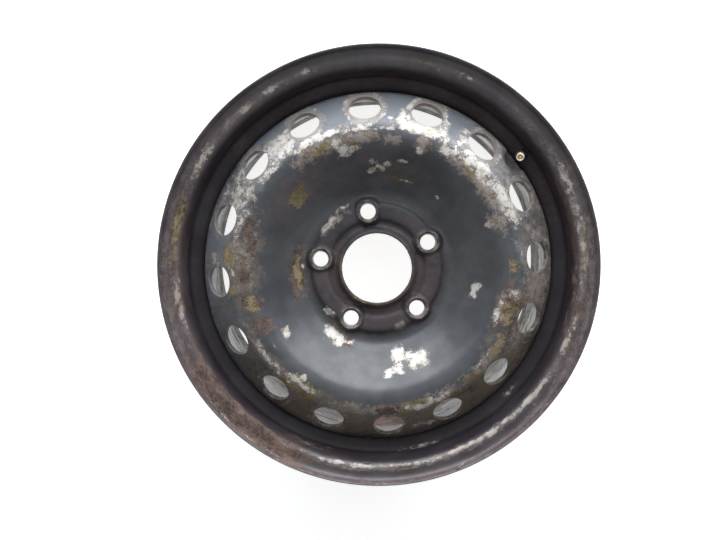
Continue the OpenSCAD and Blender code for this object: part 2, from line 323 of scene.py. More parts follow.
# Wear on the rim's air side, with the distance from the front edge along the sheet
# in place of the radius.
RIM_WEAR = {
    "bare": [
        (21, 27, 12, 20, 0.4),
        (57, 74, 12, 21, 0.55),
        (70, 96, 13, 21, 0.48),
        (96, 120, 15, 21, 0.42),
        (107, 115, 17, 21, 0.7),
        (122, 138, 17, 22, 0.75),
        (138, 165, 18, 22, 0.75),
        (160, 204, 18.5, 22, 0.72),
        (152, 157, 4, 9, 0.55),
        (203, 241, 4, 7.5, 0.44),
        (252, 268, 16, 22, 0.6),
        (297, 307, 13, 21, 0.62),
        (313, 316, 13, 20, 0.5),
        (319, 324, 13, 20, 0.55),
        (327, 331, 13, 20, 0.6),
        (338, 341, 13, 20, 0.55),
        (160, 174, 48, 53, 0.5),
        (130, 136, 53, 57, 0.6),
        (0, 360, 1.5, 4, 0.32),
    ],
    "tan": [
        (9, 18, 13, 20, 0.55),
        (74, 92, 12, 22, 0.5),
        (150, 205, 15, 18, 0.4),
        (268, 292, 12, 22, 0.5),
    ],
    "rust": [
        (95, 116, 10, 24, 0.6),
        (205, 240, 5, 23, 1.5),
        (255, 292, 10, 24, 0.62),
        (60, 110, 22, 32, 0.5),
        (193, 209, 30, 53, 0.5),
        (120, 205, 22, 26, 0.4),
        (0, 360, 0, 2.5, 0.4),
        (163, 189, 74, 190, 0.9),
    ],
    "film": [
        (0, 360, 0, 8, 0.62),
        (80, 290, 0, 9, 0.8),
        (60, 125, 8, 32, 0.55),
        (195, 300, 6, 34, 0.6),
        (255, 280, 25, 40, 0.6),
        (300, 345, 10, 24, 0.5),
        (189, 206, 78, 170, 0.5),
        (310, 440, 26, 64, 0.5),
    ],
    "halo": [
        (40, 132, 12, 21.5, 0.52),
        (118, 206, 15, 22.5, 0.6),
        (243, 300, 13, 22, 0.55),
        (60, 134, 2, 13, 0.5),
        (236, 302, 2, 13, 0.5),
        (300, 346, 12, 21, 0.42),
        (0, 360, 0, 7, 0.32),
        (70, 262, 0, 7.5, 0.4),
    ],
}
# Wear on the rim's tyre side: how much shows all over, and on the two bead seats.
TYRE_SIDE = {
    "bare": (0.0, 0.26), "tan": (0.0, 0.0), "rust": (0.1, 0.38), "film": (0.4, 0.6), "halo": (0.0, 0.36),
}
# Layers over the paint, from the lowest up: flake size per metre, raggedness,
# softness of the edge and roughness.
WEAR_LAYERS = {
    # Dust is scuffed paint and a painted sheen on the disc's outer slope.
    "dust": (40.0, 1.2, 0.3, 0.5),
    "film": (45.0, 1.1, 0.4, 0.6),
    "dirt": (60.0, 2.0, 0.24, 0.68),
    "halo": (150.0, 2.0, 0.26, 0.6),
    "rust": (110.0, 2.1, 0.08, 0.85),
    "tan": (95.0, 2.1, 0.08, 0.72),
    "bare": (145.0, 2.3, 0.06, 0.48),
}
# Layers that the disc's back has all over. The others repeat the front's patches round the back, turned
# in degrees, moved inwards in millimetres and weakened.
BACK_EVEN = {"halo": 0, "dirt": 0.5, "matte": 0.5}
BACK_COPIES = 2
BACK_TURN = 137
BACK_SHIFT = 9
BACK_SHARE = 0.7
# Zones of the disc's front in millimetres: where the dull hub ends and the dull edge starts, where a
# vent's halo ends, and radius and width of the bright ring round a vent and the pale ring round a bolt.
HUB_END = (68, 82)
HUB_DULL = 0.7
EDGE_START = (179, 183)
HALO_END = (15, 26)
VENT_RING = (20, 3)
BOLT_RING = (9.5, 3.5)
BOLT_RING_PALE = 0.48
# Zones of the rim in millimetres along the sheet: start and end of a bead seat on the tyre side, where the
# dull seat and the pale barrel (dust and painted backlight) start on the air side, and how dull flange,
# seat and tyre side are.
SEAT_START, SEAT_END = (22, 28), (46, 52)
DULL_START = (26, 34)
BARREL_START = (78, 84)
FLANGE_DULL, SEAT_DULL, TYRE_SIDE_DULL = 0.25, 0.8, 0.6
# Outlines of the patches: squareness, fall and tail of a patch, how far they wander in millimetres on
# the disc and the rim, and the waves of that: turn per millimetre of X and of Y, phase and share.
PATCH_SQUARENESS = 4
PATCH_FALL = 0.6
PATCH_TAIL = 0.6
DISC_WANDER = 0.8
RIM_WANDER = 0.5
AROUND_WAVES = [(0.23, 0.11, 0, 1), (-0.17, 0.41, 1.7, 0.7), (0.7, 0.5, 0, 0.6)]
ACROSS_WAVES = [(-0.13, 0.19, 0, 1), (0.37, 0.29, 0.9, 0.7), (-0.6, 0.8, 0, 0.6)]
# Softest edge that a flake of the rim may have, and the radius of the ring that a texture is wrapped on
# in place of the wheel's own: the smaller it is, the longer are the streaks.
RIM_SOFT = 0.13
ROLL_REACH = 0.12
BARREL_REACH = 0.06
# Tones of what lies on the finishes, and of the small pieces.
PAINT_HAZE = (0.1, 0.102, 0.11)
WELD_HAZE = (0.11, 0.1, 0.09)
BARREL_SOOT = (0.035, 0.034, 0.033)
RUBBER_DUST = (0.1, 0.09, 0.075)
BRASS_TARNISH = (0.72, 0.6, 0.4)
# The core's brass and tarnish are darkened: painted shade of the recess inside the stem's mouth.
CORE_SHADED_BRASS = (0.4, 0.29, 0.14)
CORE_SHADED_TARNISH = (0.14, 0.1, 0.05)
PIN_STEEL = (0.75, 0.73, 0.7)
PIN_TARNISH = (0.45, 0.42, 0.38)
SEAL_DARK = (0.35, 0.04, 0.03)
SEAL_LIGHT = (0.5, 0.09, 0.06)
FLOOR_MOTTLE = (0.92, 0.92, 0.91)
LAMP_TINT = (0.92, 0.96, 1.0)
WHITE = (1, 1, 1, 1)


def length_setting(name, description, default):
    """A length that a user can change, with its default in millimetres."""
    return FloatProperty(name=name, description=description, default=default * MM, unit="LENGTH")


def angle_setting(name, description, default):
    """An angle that a user can change, with its default in degrees."""
    return FloatProperty(name=name, description=description, default=math.radians(default), subtype="ANGLE")


def colour_setting(name, description, default):
    """A colour that a user can change."""
    return FloatVectorProperty(name=name, description=description, default=default, subtype="COLOR", size=3)


def place_setting(name, description, default):
    """A place that a user can change, in metres."""
    return FloatVectorProperty(
        name=name, description=description, default=default, subtype="TRANSLATION", size=3
    )


class WheelForm(bpy.types.PropertyGroup):
    """Sizes of the sheet metal that the mounts don't state."""

    turn_steps: IntProperty(name="Turn steps", description="Faces round the wheel", default=336, min=48)
    section_step: length_setting("Section step", "Distance between points along the sheet", 1.7)
    first_bolt: angle_setting("First bolt", "Turn of the first bolt hole from the X axis", 27)
    section_turn: angle_setting("Section turn", "Turn where the disc has no vent, pad or bay", 60.73)
    sheet: length_setting("Disc sheet", "Thickness of the disc", 4)
    vent_count: IntProperty(name="Vents", description="Number of round vents", default=16, min=1)
    vent_d: length_setting("Vent diameter", "Diameter of a vent", 32.5)
    vent_ring_r: length_setting("Vent ring", "Radius of the circle of vents", 163)
    vent_up: length_setting("Vent height", "Height of the vents above the hub face", 26.5)
    vent_lean: angle_setting("Vent lean", "Lean of the slope that carries the vents", 37)
    pad_d: length_setting("Pad diameter", "Foot of the pad round a bolt hole", 31)
    pad_up: length_setting("Pad height", "Top of the pads above the hub face", 10.4)
    pad_rise: length_setting("Pad rise", "Height of the sloping side of a pad", 5.4)
    seat_up: length_setting("Seat height", "Where a bolt seat's cone starts, above the hub face", 6)
    bay_r: length_setting("Bay radius", "Radius of the bay pressed round the valve", 14)
    bay_shift: length_setting("Bay shift", "Distance of the bay from the valve line", 1.5)
    weld_count: IntProperty(name="Welds", description="Weld runs round the disc's edge", default=8, min=1)
    weld_run: angle_setting("Weld run", "Turn covered by one weld run", 24.75)
    weld_ripple: length_setting("Weld ripple", "Half the distance between the ripples", 1.1)
    valve_hole_d: length_setting("Valve hole", "Diameter of the rim's valve hole", 11.4)
    thread_pitch: length_setting("Thread pitch", "Pitch of the cap thread", 0.794)
    thread_depth: length_setting("Thread depth", "Depth of the cap thread", 0.4)
    valve_len: length_setting("Valve length", "Length of the valve outside the rim", 33)
    spring_turns: IntProperty(name="Spring turns", description="Turns of the spring", default=6, min=1)


class WheelFinish(bpy.types.PropertyGroup):
    """Colours of the finishes."""

    paint: colour_setting("Paint", "Black paint", (0.02, 0.024, 0.031))
    rim_paint: colour_setting("Rim paint", "Paint of the rim, browned by brake dust", (0.03, 0.024, 0.029))
    # Bare also paints a few highlights: along the hub's ridge and on the slope.
    bare: colour_setting("Bare", "Bright steel where paint has gone", (0.6, 0.58, 0.56))
    rust_dark: colour_setting("Dark rust", "Old rust", (0.055, 0.041, 0.038))
    rust_light: colour_setting("Light rust", "Fresh rust", (0.235, 0.162, 0.132))
    tan: colour_setting("Tan", "Old undercoat", (0.175, 0.13, 0.05))
    cream: colour_setting("Cream", "Pale undercoat", (0.4, 0.325, 0.205))
    dull: colour_setting("Dull", "Scuffed steel of the flange", (0.42, 0.38, 0.36))
    dirt: colour_setting("Dirt", "Brown road film", (0.125, 0.098, 0.072))
    # The dust tone is scuffed paint and also a painted sheen on the slope.
    dust: colour_setting("Dust", "Scuffed paint of the slope", (0.15, 0.162, 0.185))
    film: colour_setting("Film", "Purple-brown brake dust", (0.1, 0.072, 0.075))
    # Halo also paints a sheen along the hub's ridge and light on the disc's steep shoulder.
    halo: colour_setting("Halo", "Thin undercoat round the vents", (0.3, 0.25, 0.225))
    scuff: colour_setting("Scuff", "Scuffed film of the flange", (0.17, 0.137, 0.134))
    # The barrel's pale grey is partly dust and partly painted backlight.
    barrel: colour_setting("Barrel", "Dusty inside of the barrel", (0.36, 0.345, 0.32))
    rubber: colour_setting("Rubber", "Rubber of the valve", (0.02, 0.02, 0.021))
    brass: colour_setting("Brass", "Brass of the valve", (0.9, 0.83, 0.64))


class WheelStage(bpy.types.PropertyGroup):
    """Floor, lamps and camera."""

    camera_place: place_setting("Camera place", "Where the camera stands", (-0.0061, 0.0354, 0.7437))
    camera_aim: place_setting("Camera aim", "Point that the camera looks at", (-0.0179, -0.0027, 0.1445))
    lens: FloatProperty(name="Lens", description="Focal length in millimetres", default=28.0845)
    floor_size: FloatProperty(name="Floor size", description="Side of the floor", default=8, unit="LENGTH")
    floor_colour: colour_setting("Floor", "Pale floor", (0.9, 0.9, 0.89))
    floor_glow: FloatProperty(
        name="Floor glow", description="White that the floor adds where it is seen", default=0.8
    )
    ambient: FloatProperty(name="Ambient", description="Light from all round", default=0.1)
    key_power: FloatProperty(name="Key", description="Soft box over the wheel", default=42, unit="POWER")
    fill_power: FloatProperty(name="Fill", description="Soft box by the camera", default=2, unit="POWER")
    back_power: FloatProperty(name="Back", description="Lamp behind the disc", default=0.7, unit="POWER")


# Sections of the sheet metal


def ordered_outline(edges):
    """The points of a ring of edges, in order."""
    neighbours = {}
    for edge in edges:
        for vertex in edge.verts:
            neighbours.setdefault(vertex, []).append(edge.other_vert(vertex))
    start = next(iter(neighbours))
    outline = [start]
    before, here = None, start
    while True:
        onward = [vertex for vertex in neighbours[here] if vertex is not before]
        before, here = here, onward[0]
        if here is start:
            return [vertex.co.copy() for vertex in outline]
        outline.append(here)


def section_of(node, turn, to_local=None):
    """The closed outline of a node's section at one turn about Z, as rows of radius and height."""
    work = bmesh.new()
    work.from_mesh(frame["nodes"][node].data)
    if to_local is not None:
        work.transform(to_local)
    bmesh.ops.remove_doubles(work, verts=work.verts, dist=MERGE_DISTANCE)
    outward = Vector((math.cos(turn), math.sin(turn), 0))
    across = Vector((-math.sin(turn), math.cos(turn), 0))
    whole = work.verts[:] + work.edges[:] + work.faces[:]
    cut = bmesh.ops.bisect_plane(work, geom=whole, dist=1e-8, plane_co=(0, 0, 0), plane_no=across)
    edges = [part for part in cut["geom_cut"] if isinstance(part, bmesh.types.BMEdge)]
    edges = [edge for edge in edges if all(vertex.co.dot(outward) > 0 for vertex in edge.verts)]
    outline = ordered_outline(edges)
    work.free()
    return np.array([(point.dot(outward), point.z) for point in outline])


def evenly_spaced(outline, step, fine_below=0.0):
    """The outline with its points one step apart, and closer where its radius is under fine_below."""
    closed = np.vstack([outline, outline[:1]])
    run = np.concatenate([[0], np.cumsum(np.linalg.norm(np.diff(closed, axis=0), axis=1))])
    dense = np.linspace(0, run[-1], SAMPLES_PER_POINT * max(FEWEST_POINTS, round(run[-1] / step)) + 1)
    radii = np.interp(dense, run, closed[:, 0])
    gain = np.where(radii[:-1] < fine_below, COLLAR_FINER / step, 1 / step) * np.diff(dense)
    spent = np.concatenate([[0], np.cumsum(gain)])
    stops = np.linspace(0, spent[-1], max(FEWEST_POINTS, round(spent[-1])), endpoint=False)
    places = np.interp(stops, spent, dense)
    return np.column_stack([np.interp(places, run, closed[:, column]) for column in (0, 1)])


def softened(outline, passes):
    """The outline with its corners rounded a little."""
    for _ in range(passes):
        outline = (np.roll(outline, 1, 0) + 2 * outline + np.roll(outline, -1, 0)) / 4
    return outline


def sheet_run(outline, start, end, column, sign):
    """Distance of each point from the start, positive on the side that shows and negative on the other."""
    count = len(outline)
    steps = np.linalg.norm(np.roll(outline, -1, 0) - outline, axis=1)
    order = np.roll(np.arange(count), -start)
    ahead = np.concatenate([[0], np.cumsum(steps[order])[:-1]])
    first = np.arange(count) <= (end - start) % count
    signed = np.where(first, ahead, ahead - steps.sum())
    side_means = outline[order[first], column].mean() - outline[order[~first], column].mean()
    run = np.empty(count)
    run[order] = signed if side_means * sign > 0 else -signed
    return run


# Geometry Nodes


def put(tree, kind, inputs=None, **settings):
    """Adds a node, sets its properties, and links or fills its inputs."""
    node = tree.nodes.new(kind)
    for name, value in settings.items():
        setattr(node, name, value)
    for key, value in (inputs or {}).items():
        if isinstance(value, bpy.types.NodeSocket):
            tree.links.new(value, node.inputs[key])
        else:
            node.inputs[key].default_value = value
    return node


def shape_tree(name, numbers, counts=()):
    """An empty Geometry Nodes tree, its named inputs, and the source's wire as a curve."""
    tree = bpy.data.node_groups.new(name, "GeometryNodeTree")
    tree.interface.new_socket("Geometry", in_out="INPUT", socket_type="NodeSocketGeometry")
    tree.interface.new_socket("Geometry", in_out="OUTPUT", socket_type="NodeSocketGeometry")
    tree.interface.new_socket("Material", in_out="INPUT", socket_type="NodeSocketMaterial")
    for label in numbers:
        tree.interface.new_socket(label, in_out="INPUT", socket_type="NodeSocketFloat")
    for label in counts:
        tree.interface.new_socket(label, in_out="INPUT", socket_type="NodeSocketInt")
    given = tree.nodes.new("NodeGroupInput").outputs
    return tree, given, put(tree, "GeometryNodeMeshToCurve", {"Mesh": given["Geometry"]}).outputs["Curve"]


def swept(tree, path, profile, scale=1.0, capped=True):
    """The mesh of a profile carried along a path."""
    return put(tree, "GeometryNodeCurveToMesh", {
        "Curve": path, "Profile Curve": profile, "Scale": scale, "Fill Caps": capped,
    }).outputs["Mesh"]


def close_tree(tree, geometry, material):
    """Ends a tree in real geometry with a material."""
    smooth = put(tree, "GeometryNodeSetShadeSmooth", {"Geometry": geometry})
    real = put(tree, "GeometryNodeRealizeInstances", {"Geometry": smooth.outputs[0]})
    dressed = put(tree, "GeometryNodeSetMaterial", {"Geometry": real.outputs[0], "Material": material})
    put(tree, "NodeGroupOutput", {"Geometry": dressed.outputs[0]})
    return tree


def turned_tree():
    """Turns a closed section, drawn round a ring of the given radius, about the Z axis."""
    tree, given, section = shape_tree("Turned sheet", ["Ring Radius"], ["Steps"])
    ring = put(tree, "GeometryNodeCurvePrimitiveCircle", {
        "Resolution": given["Steps"], "Radius": given["Ring Radius"],
    })
    return close_tree(tree, swept(tree, ring.outputs["Curve"], section, capped=False), given["Material"])


def ring_turns(tree, given):
    """The turn of each copy on a ring, from the tree's count and first turn."""
    share = math_node(tree, "DIVIDE", math.tau, given["Count"])
    turned = math_node(tree, "MULTIPLY", put(tree, "GeometryNodeInputIndex").outputs[0], share)
    return math_node(tree, "ADD", turned, given["First Turn"])


def close_ring(tree, given, copy, place, angles):
    """Ends a tree in copies of a mesh, each at its place and turned by its angles."""
    points = put(tree, "GeometryNodePoints", {"Count": given["Count"], "Position": place})
    rotation = put(tree, "FunctionNodeEulerToRotation", {"Euler": angles})
    ring = put(tree, "GeometryNodeInstanceOnPoints", {
        "Points": points.outputs[0], "Instance": copy, "Rotation": rotation.outputs[0],
    })
    return close_tree(tree, ring.outputs[0], given["Material"])


def punch_tree():
    """Sets a round punch, drawn as a line of points with a radius each, at equal turns round a ring."""
    tree, given, line = shape_tree(
        "Ring of punches", ["Ring Radius", "Height", "First Turn", "Lean"], ["Count", "Sides"]
    )
    width = put(tree, "GeometryNodeInputNamedAttribute", {"Name": "width"}, data_type="FLOAT")
    circle = put(tree, "GeometryNodeCurvePrimitiveCircle", {"Resolution": given["Sides"], "Radius": 1.0})
    punch = swept(tree, line, circle.outputs["Curve"], width.outputs["Attribute"])
    turn = ring_turns(tree, given)
    across = math_node(tree, "MULTIPLY", math_node(tree, "COSINE", turn), given["Ring Radius"])
    along = math_node(tree, "MULTIPLY", math_node(tree, "SINE", turn), given["Ring Radius"])
    place = put(tree, "ShaderNodeCombineXYZ", {"X": across, "Y": along, "Z": given["Height"]})
    angles = put(tree, "ShaderNodeCombineXYZ", {"Y": given["Lean"], "Z": turn})
    return close_ring(tree, given, punch, place.outputs[0], angles.outputs[0])


def weld_tree():
    """Lays rippled weld runs, drawn from the corner that they fill, at equal turns round a ring."""
    tree, given, section = shape_tree(
        "Weld runs", ["Ring Radius", "Height", "First Turn", "Run Angle", "Ripple"], ["Count"]
    )
    arc = put(tree, "GeometryNodeCurveArc", {
        "Resolution": 150, "Radius": given["Ring Radius"], "Sweep Angle": given["Run Angle"],
    })
    along = put(tree, "GeometryNodeSplineParameter").outputs
    wave = math_node(tree, "PINGPONG", along["Length"], given["Ripple"])
    depth = ramped(tree, wave, 0.0, given["Ripple"], 0.8, 1.0, smooth=False)
    nose = math_node(tree, "PINGPONG", along["Factor"], 0.5)
    swell = ramped(tree, nose, 0.0, 0.04, 0.35, 1.0)
    size = math_node(tree, "MULTIPLY", depth, swell)
    bead = swept(tree, arc.outputs["Curve"], section, size)
    place = put(tree, "ShaderNodeCombineXYZ", {"Z": given["Height"]})
    angles = put(tree, "ShaderNodeCombineXYZ", {"Z": ring_turns(tree, given)})
    return close_ring(tree, given, bead, place.outputs[0], angles.outputs[0])


def thread_tree():
    """Winds a ridge or a wire, whose section is the given outline, up the Z axis."""
    tree, given, section = shape_tree("Thread", ["Radius", "Pitch", "Length"])
    spiral = put(tree, "GeometryNodeCurveSpiral", {
        "Resolution": 40, "Rotations": math_node(tree, "DIVIDE", given["Length"], given["Pitch"]),
        "Start Radius": given["Radius"], "End Radius": given["Radius"], "Height": given["Length"],
    })
    upright = put(tree, "GeometryNodeSetCurveNormal", {"Curve": spiral.outputs["Curve"]}, mode="Z_UP")
    return close_tree(tree, swept(tree, upright.outputs["Curve"], section), given["Material"])


def drawn_line(name, points, closed, **attributes):
    """A wire mesh through points, with a number for each point under each attribute's name."""
    count = len(points)
    edges = [(i, (i + 1) % count) for i in range(count if closed else count - 1)]
    mesh = bpy.data.meshes.new(name)
    mesh.from_pydata([tuple(point) for point in points], edges, [])
    for label, values in attributes.items():
        set_field(mesh, label, values)
    return mesh


def grown(tree, source, **values):
    """The plain mesh that a tree makes of a source mesh and its named inputs."""
    holder = bpy.data.objects.new("holder", source)
    bpy.context.scene.collection.objects.link(holder)
    modifier = holder.modifiers.new(tree.name, "NODES")
    modifier.node_group = tree
    for item in tree.interface.items_tree:
        label = item.name.lower().replace(" ", "_")
        if item.in_out == "INPUT" and label in values:
            modifier[item.identifier] = values[label]
    return plain_mesh(holder)


def plain_mesh(holder):
    """The mesh of an object with its modifiers applied. The object goes."""
    depsgraph = bpy.context.evaluated_depsgraph_get()
    mesh = bpy.data.meshes.new_from_object(
        holder.evaluated_get(depsgraph), preserve_all_data_layers=True, depsgraph=depsgraph
    )
    bpy.data.objects.remove(holder)
    return mesh


def face_outwards(mesh):
    """Merges doubles and points a closed mesh's faces outwards."""
    work = bmesh.new()
    work.from_mesh(mesh)
    bmesh.ops.remove_doubles(work, verts=work.verts, dist=MERGE_DISTANCE)
    bmesh.ops.recalc_face_normals(work, faces=work.faces)
    work.to_mesh(mesh)
    work.free()
    return mesh


def turned_sheet(name, outline, steps, material, **attributes):
    """A closed section of radius and height, turned about Z."""
    ring_radius = outline[:, 0].mean()
    points = np.column_stack([outline[:, 0] - ring_radius, -outline[:, 1], np.zeros(len(outline))])
    line = drawn_line(name + "_section", points, True, **attributes)
    mesh = grown(turned_tree(), line, ring_radius=ring_radius, steps=steps, material=material)
    return face_outwards(mesh)


def cut_away(mesh, tool):
    """The mesh with a closed cutting mesh taken out of it."""
    body = bpy.data.objects.new("cut_body", mesh)
    cutter = bpy.data.objects.new("cutter", tool)
    for part in (body, cutter):
        bpy.context.scene.collection.objects.link(part)
    modifier = body.modifiers.new("Cut", "BOOLEAN")
    modifier.operation = "DIFFERENCE"
    modifier.solver = "MANIFOLD"
    modifier.object = cutter
    result = plain_mesh(body)
    bpy.data.objects.remove(cutter)
    if len(result.polygons) <= len(mesh.polygons) // 2:
        raise RuntimeError("a cut took away most of " + mesh.name)
    return result


def finish_piece(name, mesh, body, nodes, sharp=40):
    """Makes a piece of a finished mesh, in place of the CAD nodes that it stands for."""
    mesh.shade_smooth()
    mesh.set_sharp_from_angle(angle=math.radians(sharp))
    piece = bpy.data.objects.new(name, mesh)
    bpy.context.scene.collection.objects.link(piece)
    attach(piece, body)
    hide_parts(*nodes)
    return piece


# Fields on the surface


def points_of(mesh):
    """The mesh's vertices as rows of metres."""
    flat = np.empty(len(mesh.vertices) * 3)
    mesh.vertices.foreach_get("co", flat)
    return flat.reshape(-1, 3)


def set_points(mesh, points):
    """Moves the mesh's vertices."""
    mesh.vertices.foreach_set("co", points.ravel())
    mesh.update()


def field_of(mesh, name):
    """A number per vertex that the mesh holds under a name."""
    values = np.empty(len(mesh.vertices))
    mesh.attributes[name].data.foreach_get("value", values)
    return values


def set_field(mesh, name, values):
    """Keeps a number per vertex on the mesh under a name."""
    held = mesh.attributes.get(name) or mesh.attributes.new(name, "FLOAT", "POINT")
    held.data.foreach_set("value", np.asarray(values, float))


def clock_of(points):
    """Clock angle in degrees, from the top of the wheel as it is seen, clockwise."""
    return np.degrees(np.arctan2(points[:, 0], points[:, 1])) % 360


def moved(points, matrix):
    """Rows of points taken through a matrix."""
    return points @ np.array(matrix.to_3x3()).T + np.array(matrix.translation)


def patch_field(clock, across, patches):
    """How far the paint has gone at each point, from the patches that reach it."""
    field = np.zeros(len(clock))
    for first, last, low, high, strength in patches:
        turn = (clock - (first + last) / 2 + 180) % 360 - 180
        around = turn / ((last - first) / 2)
        over = (across - (low + high) / 2) / ((high - low) / 2)
        apart = (around**PATCH_SQUARENESS + over**PATCH_SQUARENESS) ** PATCH_TAIL
        field = np.maximum(field, strength * np.exp(-PATCH_FALL * apart))
    return field


def ring_field(gap, middle, width):
    """1 on a ring round a centre, falling softly to 0 on both sides."""
    return np.exp(-(((gap - middle) / width) ** 2))


def wander(points, size):
    """Two smooth offsets for each point, in millimetres, that bend the outlines of the patches."""
    x, y = points[:, 0] / MM, points[:, 1] / MM
    return [
        size * sum(share * np.sin(by_x * x + by_y * y + phase) for by_x, by_y, phase, share in waves)
        for waves in (AROUND_WAVES, ACROSS_WAVES)
    ]


def smooth_step(values, low, high):
    """0 below low, 1 above high, and a soft ramp between them."""
    share = np.clip((values - low) / (high - low), 0, 1)
    return share * share * (3 - 2 * share)


def smooth_max(a, b, soft):
    """The greater of two heights, with a soft fillet where they meet."""
    share = np.clip(0.5 + 0.5 * (a - b) / soft, 0, 1)
    return b + (a - b) * share + soft * share * (1 - share)


def ring_places(count, first, radius):
    """Centres of equal turns round the wheel, as rows of X and Y."""
    turns = first + np.arange(count) * math.tau / count
    return radius * np.column_stack([np.cos(turns), np.sin(turns)])


def nearest(points, centres):
    """Distance from each point to the nearest centre, seen along Z."""
    gaps = points[:, None, :2] - centres[None]
    return np.linalg.norm(gaps, axis=2).min(axis=1)


# Shader groups


def shade_group(name, inputs, outputs):
    """An empty shader group with named sockets, and its input sockets."""
    tree = bpy.data.node_groups.new(name, "ShaderNodeTree")
    for label, kind in inputs.items():
        tree.interface.new_socket(label, in_out="INPUT", socket_type=kind)
    for label, kind in outputs.items():
        tree.interface.new_socket(label, in_out="OUTPUT", socket_type=kind)
    return tree, tree.nodes.new("NodeGroupInput").outputs


def math_node(tree, operation, first, second=0.0):
    """The value of a sum, product or the like."""
    return put(tree, "ShaderNodeMath", {0: first, 1: second}, operation=operation).outputs[0]


def mixed(tree, factor, first, second):
    """One colour turned into another by a factor."""
    node = put(tree, "ShaderNodeMix", {0: factor, 6: first, 7: second}, data_type="RGBA")
    return node.outputs[2]


def blended(tree, factor, first, second):
    """One number turned into another by a factor."""
    return put(tree, "ShaderNodeMix", {0: factor, 2: first, 3: second}, data_type="FLOAT").outputs[0]


def noise(tree, vector, scale, detail=4.0, rough=0.55):
    """A noise value between 0 and 1."""
    node = put(tree, "ShaderNodeTexNoise", {
        "Vector": vector, "Scale": scale, "Detail": detail, "Roughness": rough,
    })
    return node.outputs["Fac"]


def ramped(tree, value, low, high, first=0.0, last=1.0, smooth=True):
    """A value mapped to another range and clamped there."""
    kind = "SMOOTHSTEP" if smooth else "LINEAR"
    node = put(tree, "ShaderNodeMapRange", {
        "Value": value, "From Min": low, "From Max": high, "To Min": first, "To Max": last,
    }, interpolation_type=kind)
    return node.outputs[0]


def flake_group():
    """Breaks the edge of a field into ragged flakes."""
    tree, given = shade_group(
        "Ragged flakes",
        {"Vector": "NodeSocketVector", "Field": "NodeSocketFloat", "Scale": "NodeSocketFloat",
         "Ragged": "NodeSocketFloat", "Soft": "NodeSocketFloat"},
        {"Mask": "NodeSocketFloat", "Fringe": "NodeSocketFloat"},
    )
    broad = noise(tree, given["Vector"], given["Scale"], 10, 0.72)
    fine_scale = math_node(tree, "MULTIPLY", given["Scale"], 4.3)
    fine = noise(tree, given["Vector"], fine_scale, 4, 0.65)
    both = math_node(tree, "ADD", broad, math_node(tree, "MULTIPLY", fine, 0.4))
    swing = math_node(tree, "MULTIPLY", math_node(tree, "SUBTRACT", both, 0.7), given["Ragged"])
    present = ramped(tree, given["Field"], 0.04, 0.3)
    total = math_node(tree, "MULTIPLY", math_node(tree, "ADD", swing, given["Field"]), present)
    low = math_node(tree, "SUBTRACT", 0.5, given["Soft"])
    high = math_node(tree, "ADD", 0.5, given["Soft"])
    fringe_low = math_node(tree, "SUBTRACT", low, 0.32)
    put(tree, "NodeGroupOutput", {
        "Mask": ramped(tree, total, low, high), "Fringe": ramped(tree, total, fringe_low, high),
    })
    return tree


def rust_group():
    """Grainy rust between a dark and a light tone."""
    tree, given = shade_group(
        "Grainy rust",
        {"Vector": "NodeSocketVector", "Dark": "NodeSocketColor", "Light": "NodeSocketColor"},
        {"Colour": "NodeSocketColor", "Height": "NodeSocketFloat"},
    )
    broad = noise(tree, given["Vector"], 70, 6, 0.6)
    fine = noise(tree, given["Vector"], 420, 5, 0.65)
    fine_share = math_node(tree, "MULTIPLY", fine, 0.4)
    both = math_node(tree, "ADD", math_node(tree, "MULTIPLY", broad, 0.6), fine_share)
    colour = mixed(tree, ramped(tree, both, 0.36, 0.64), given["Dark"], given["Light"])
    put(tree, "NodeGroupOutput", {"Colour": colour, "Height": both})
    return tree


def paint_group():
    """Satin paint with a faint mottle, scuffs and dust in its texture."""
    tree, given = shade_group(
        "Satin paint",
        {"Vector": "NodeSocketVector", "Colour": "NodeSocketColor", "Dust": "NodeSocketColor"},
        {"Colour": "NodeSocketColor", "Roughness": "NodeSocketFloat", "Height": "NodeSocketFloat"},
    )
    cloud = noise(tree, given["Vector"], 26, 5, 0.6)
    grain = noise(tree, given["Vector"], 620, 3, 0.6)
    scuff = noise(tree, given["Vector"], 140, 8, 0.75)
    dusty = math_node(tree, "MULTIPLY", ramped(tree, cloud, 0.42, 0.7), 0.2)
    scuffed = math_node(tree, "MULTIPLY", ramped(tree, scuff, 0.6, 0.72), 0.25)
    veil = math_node(tree, "MAXIMUM", dusty, scuffed)
    colour = mixed(tree, veil, given["Colour"], given["Dust"])
    uneven = math_node(tree, "ADD", cloud, math_node(tree, "MULTIPLY", grain, 0.3))
    roughness = ramped(tree, uneven, 0.4, 0.9, 0.26, 0.42)
    put(tree, "NodeGroupOutput", {"Colour": colour, "Roughness": roughness, "Height": grain})
    return tree


GROUPS = {}


def placed_group(tree, maker, inputs):
    """A shared shader group, made once, placed in a material."""
    if maker.__name__ not in GROUPS:
        GROUPS[maker.__name__] = maker()
    return put(tree, "ShaderNodeGroup", inputs, node_tree=GROUPS[maker.__name__]).outputs


# Materials


def new_material(name):
    """A material with one Principled shader, its node tree, the shader and the object's coordinates."""
    material = bpy.data.materials.new(name)
    material.use_nodes = True
    tree = material.node_tree
    tree.nodes.clear()
    shader = put(tree, "ShaderNodeBsdfPrincipled")
    put(tree, "ShaderNodeOutputMaterial", {"Surface": shader.outputs[0]})
    return material, tree, shader, put(tree, "ShaderNodeTexCoord").outputs["Object"]


def feed(tree, shader, **values):
    """Links or fills the shader's inputs by name."""
    for key, value in values.items():
        socket = shader.inputs[key.replace("_", " ")]
        if isinstance(value, bpy.types.NodeSocket):
            tree.links.new(value, socket)
        else:
            socket.default_value = value


def rgba(colour):
    """A colour with full alpha."""
    return (*colour, 1.0)


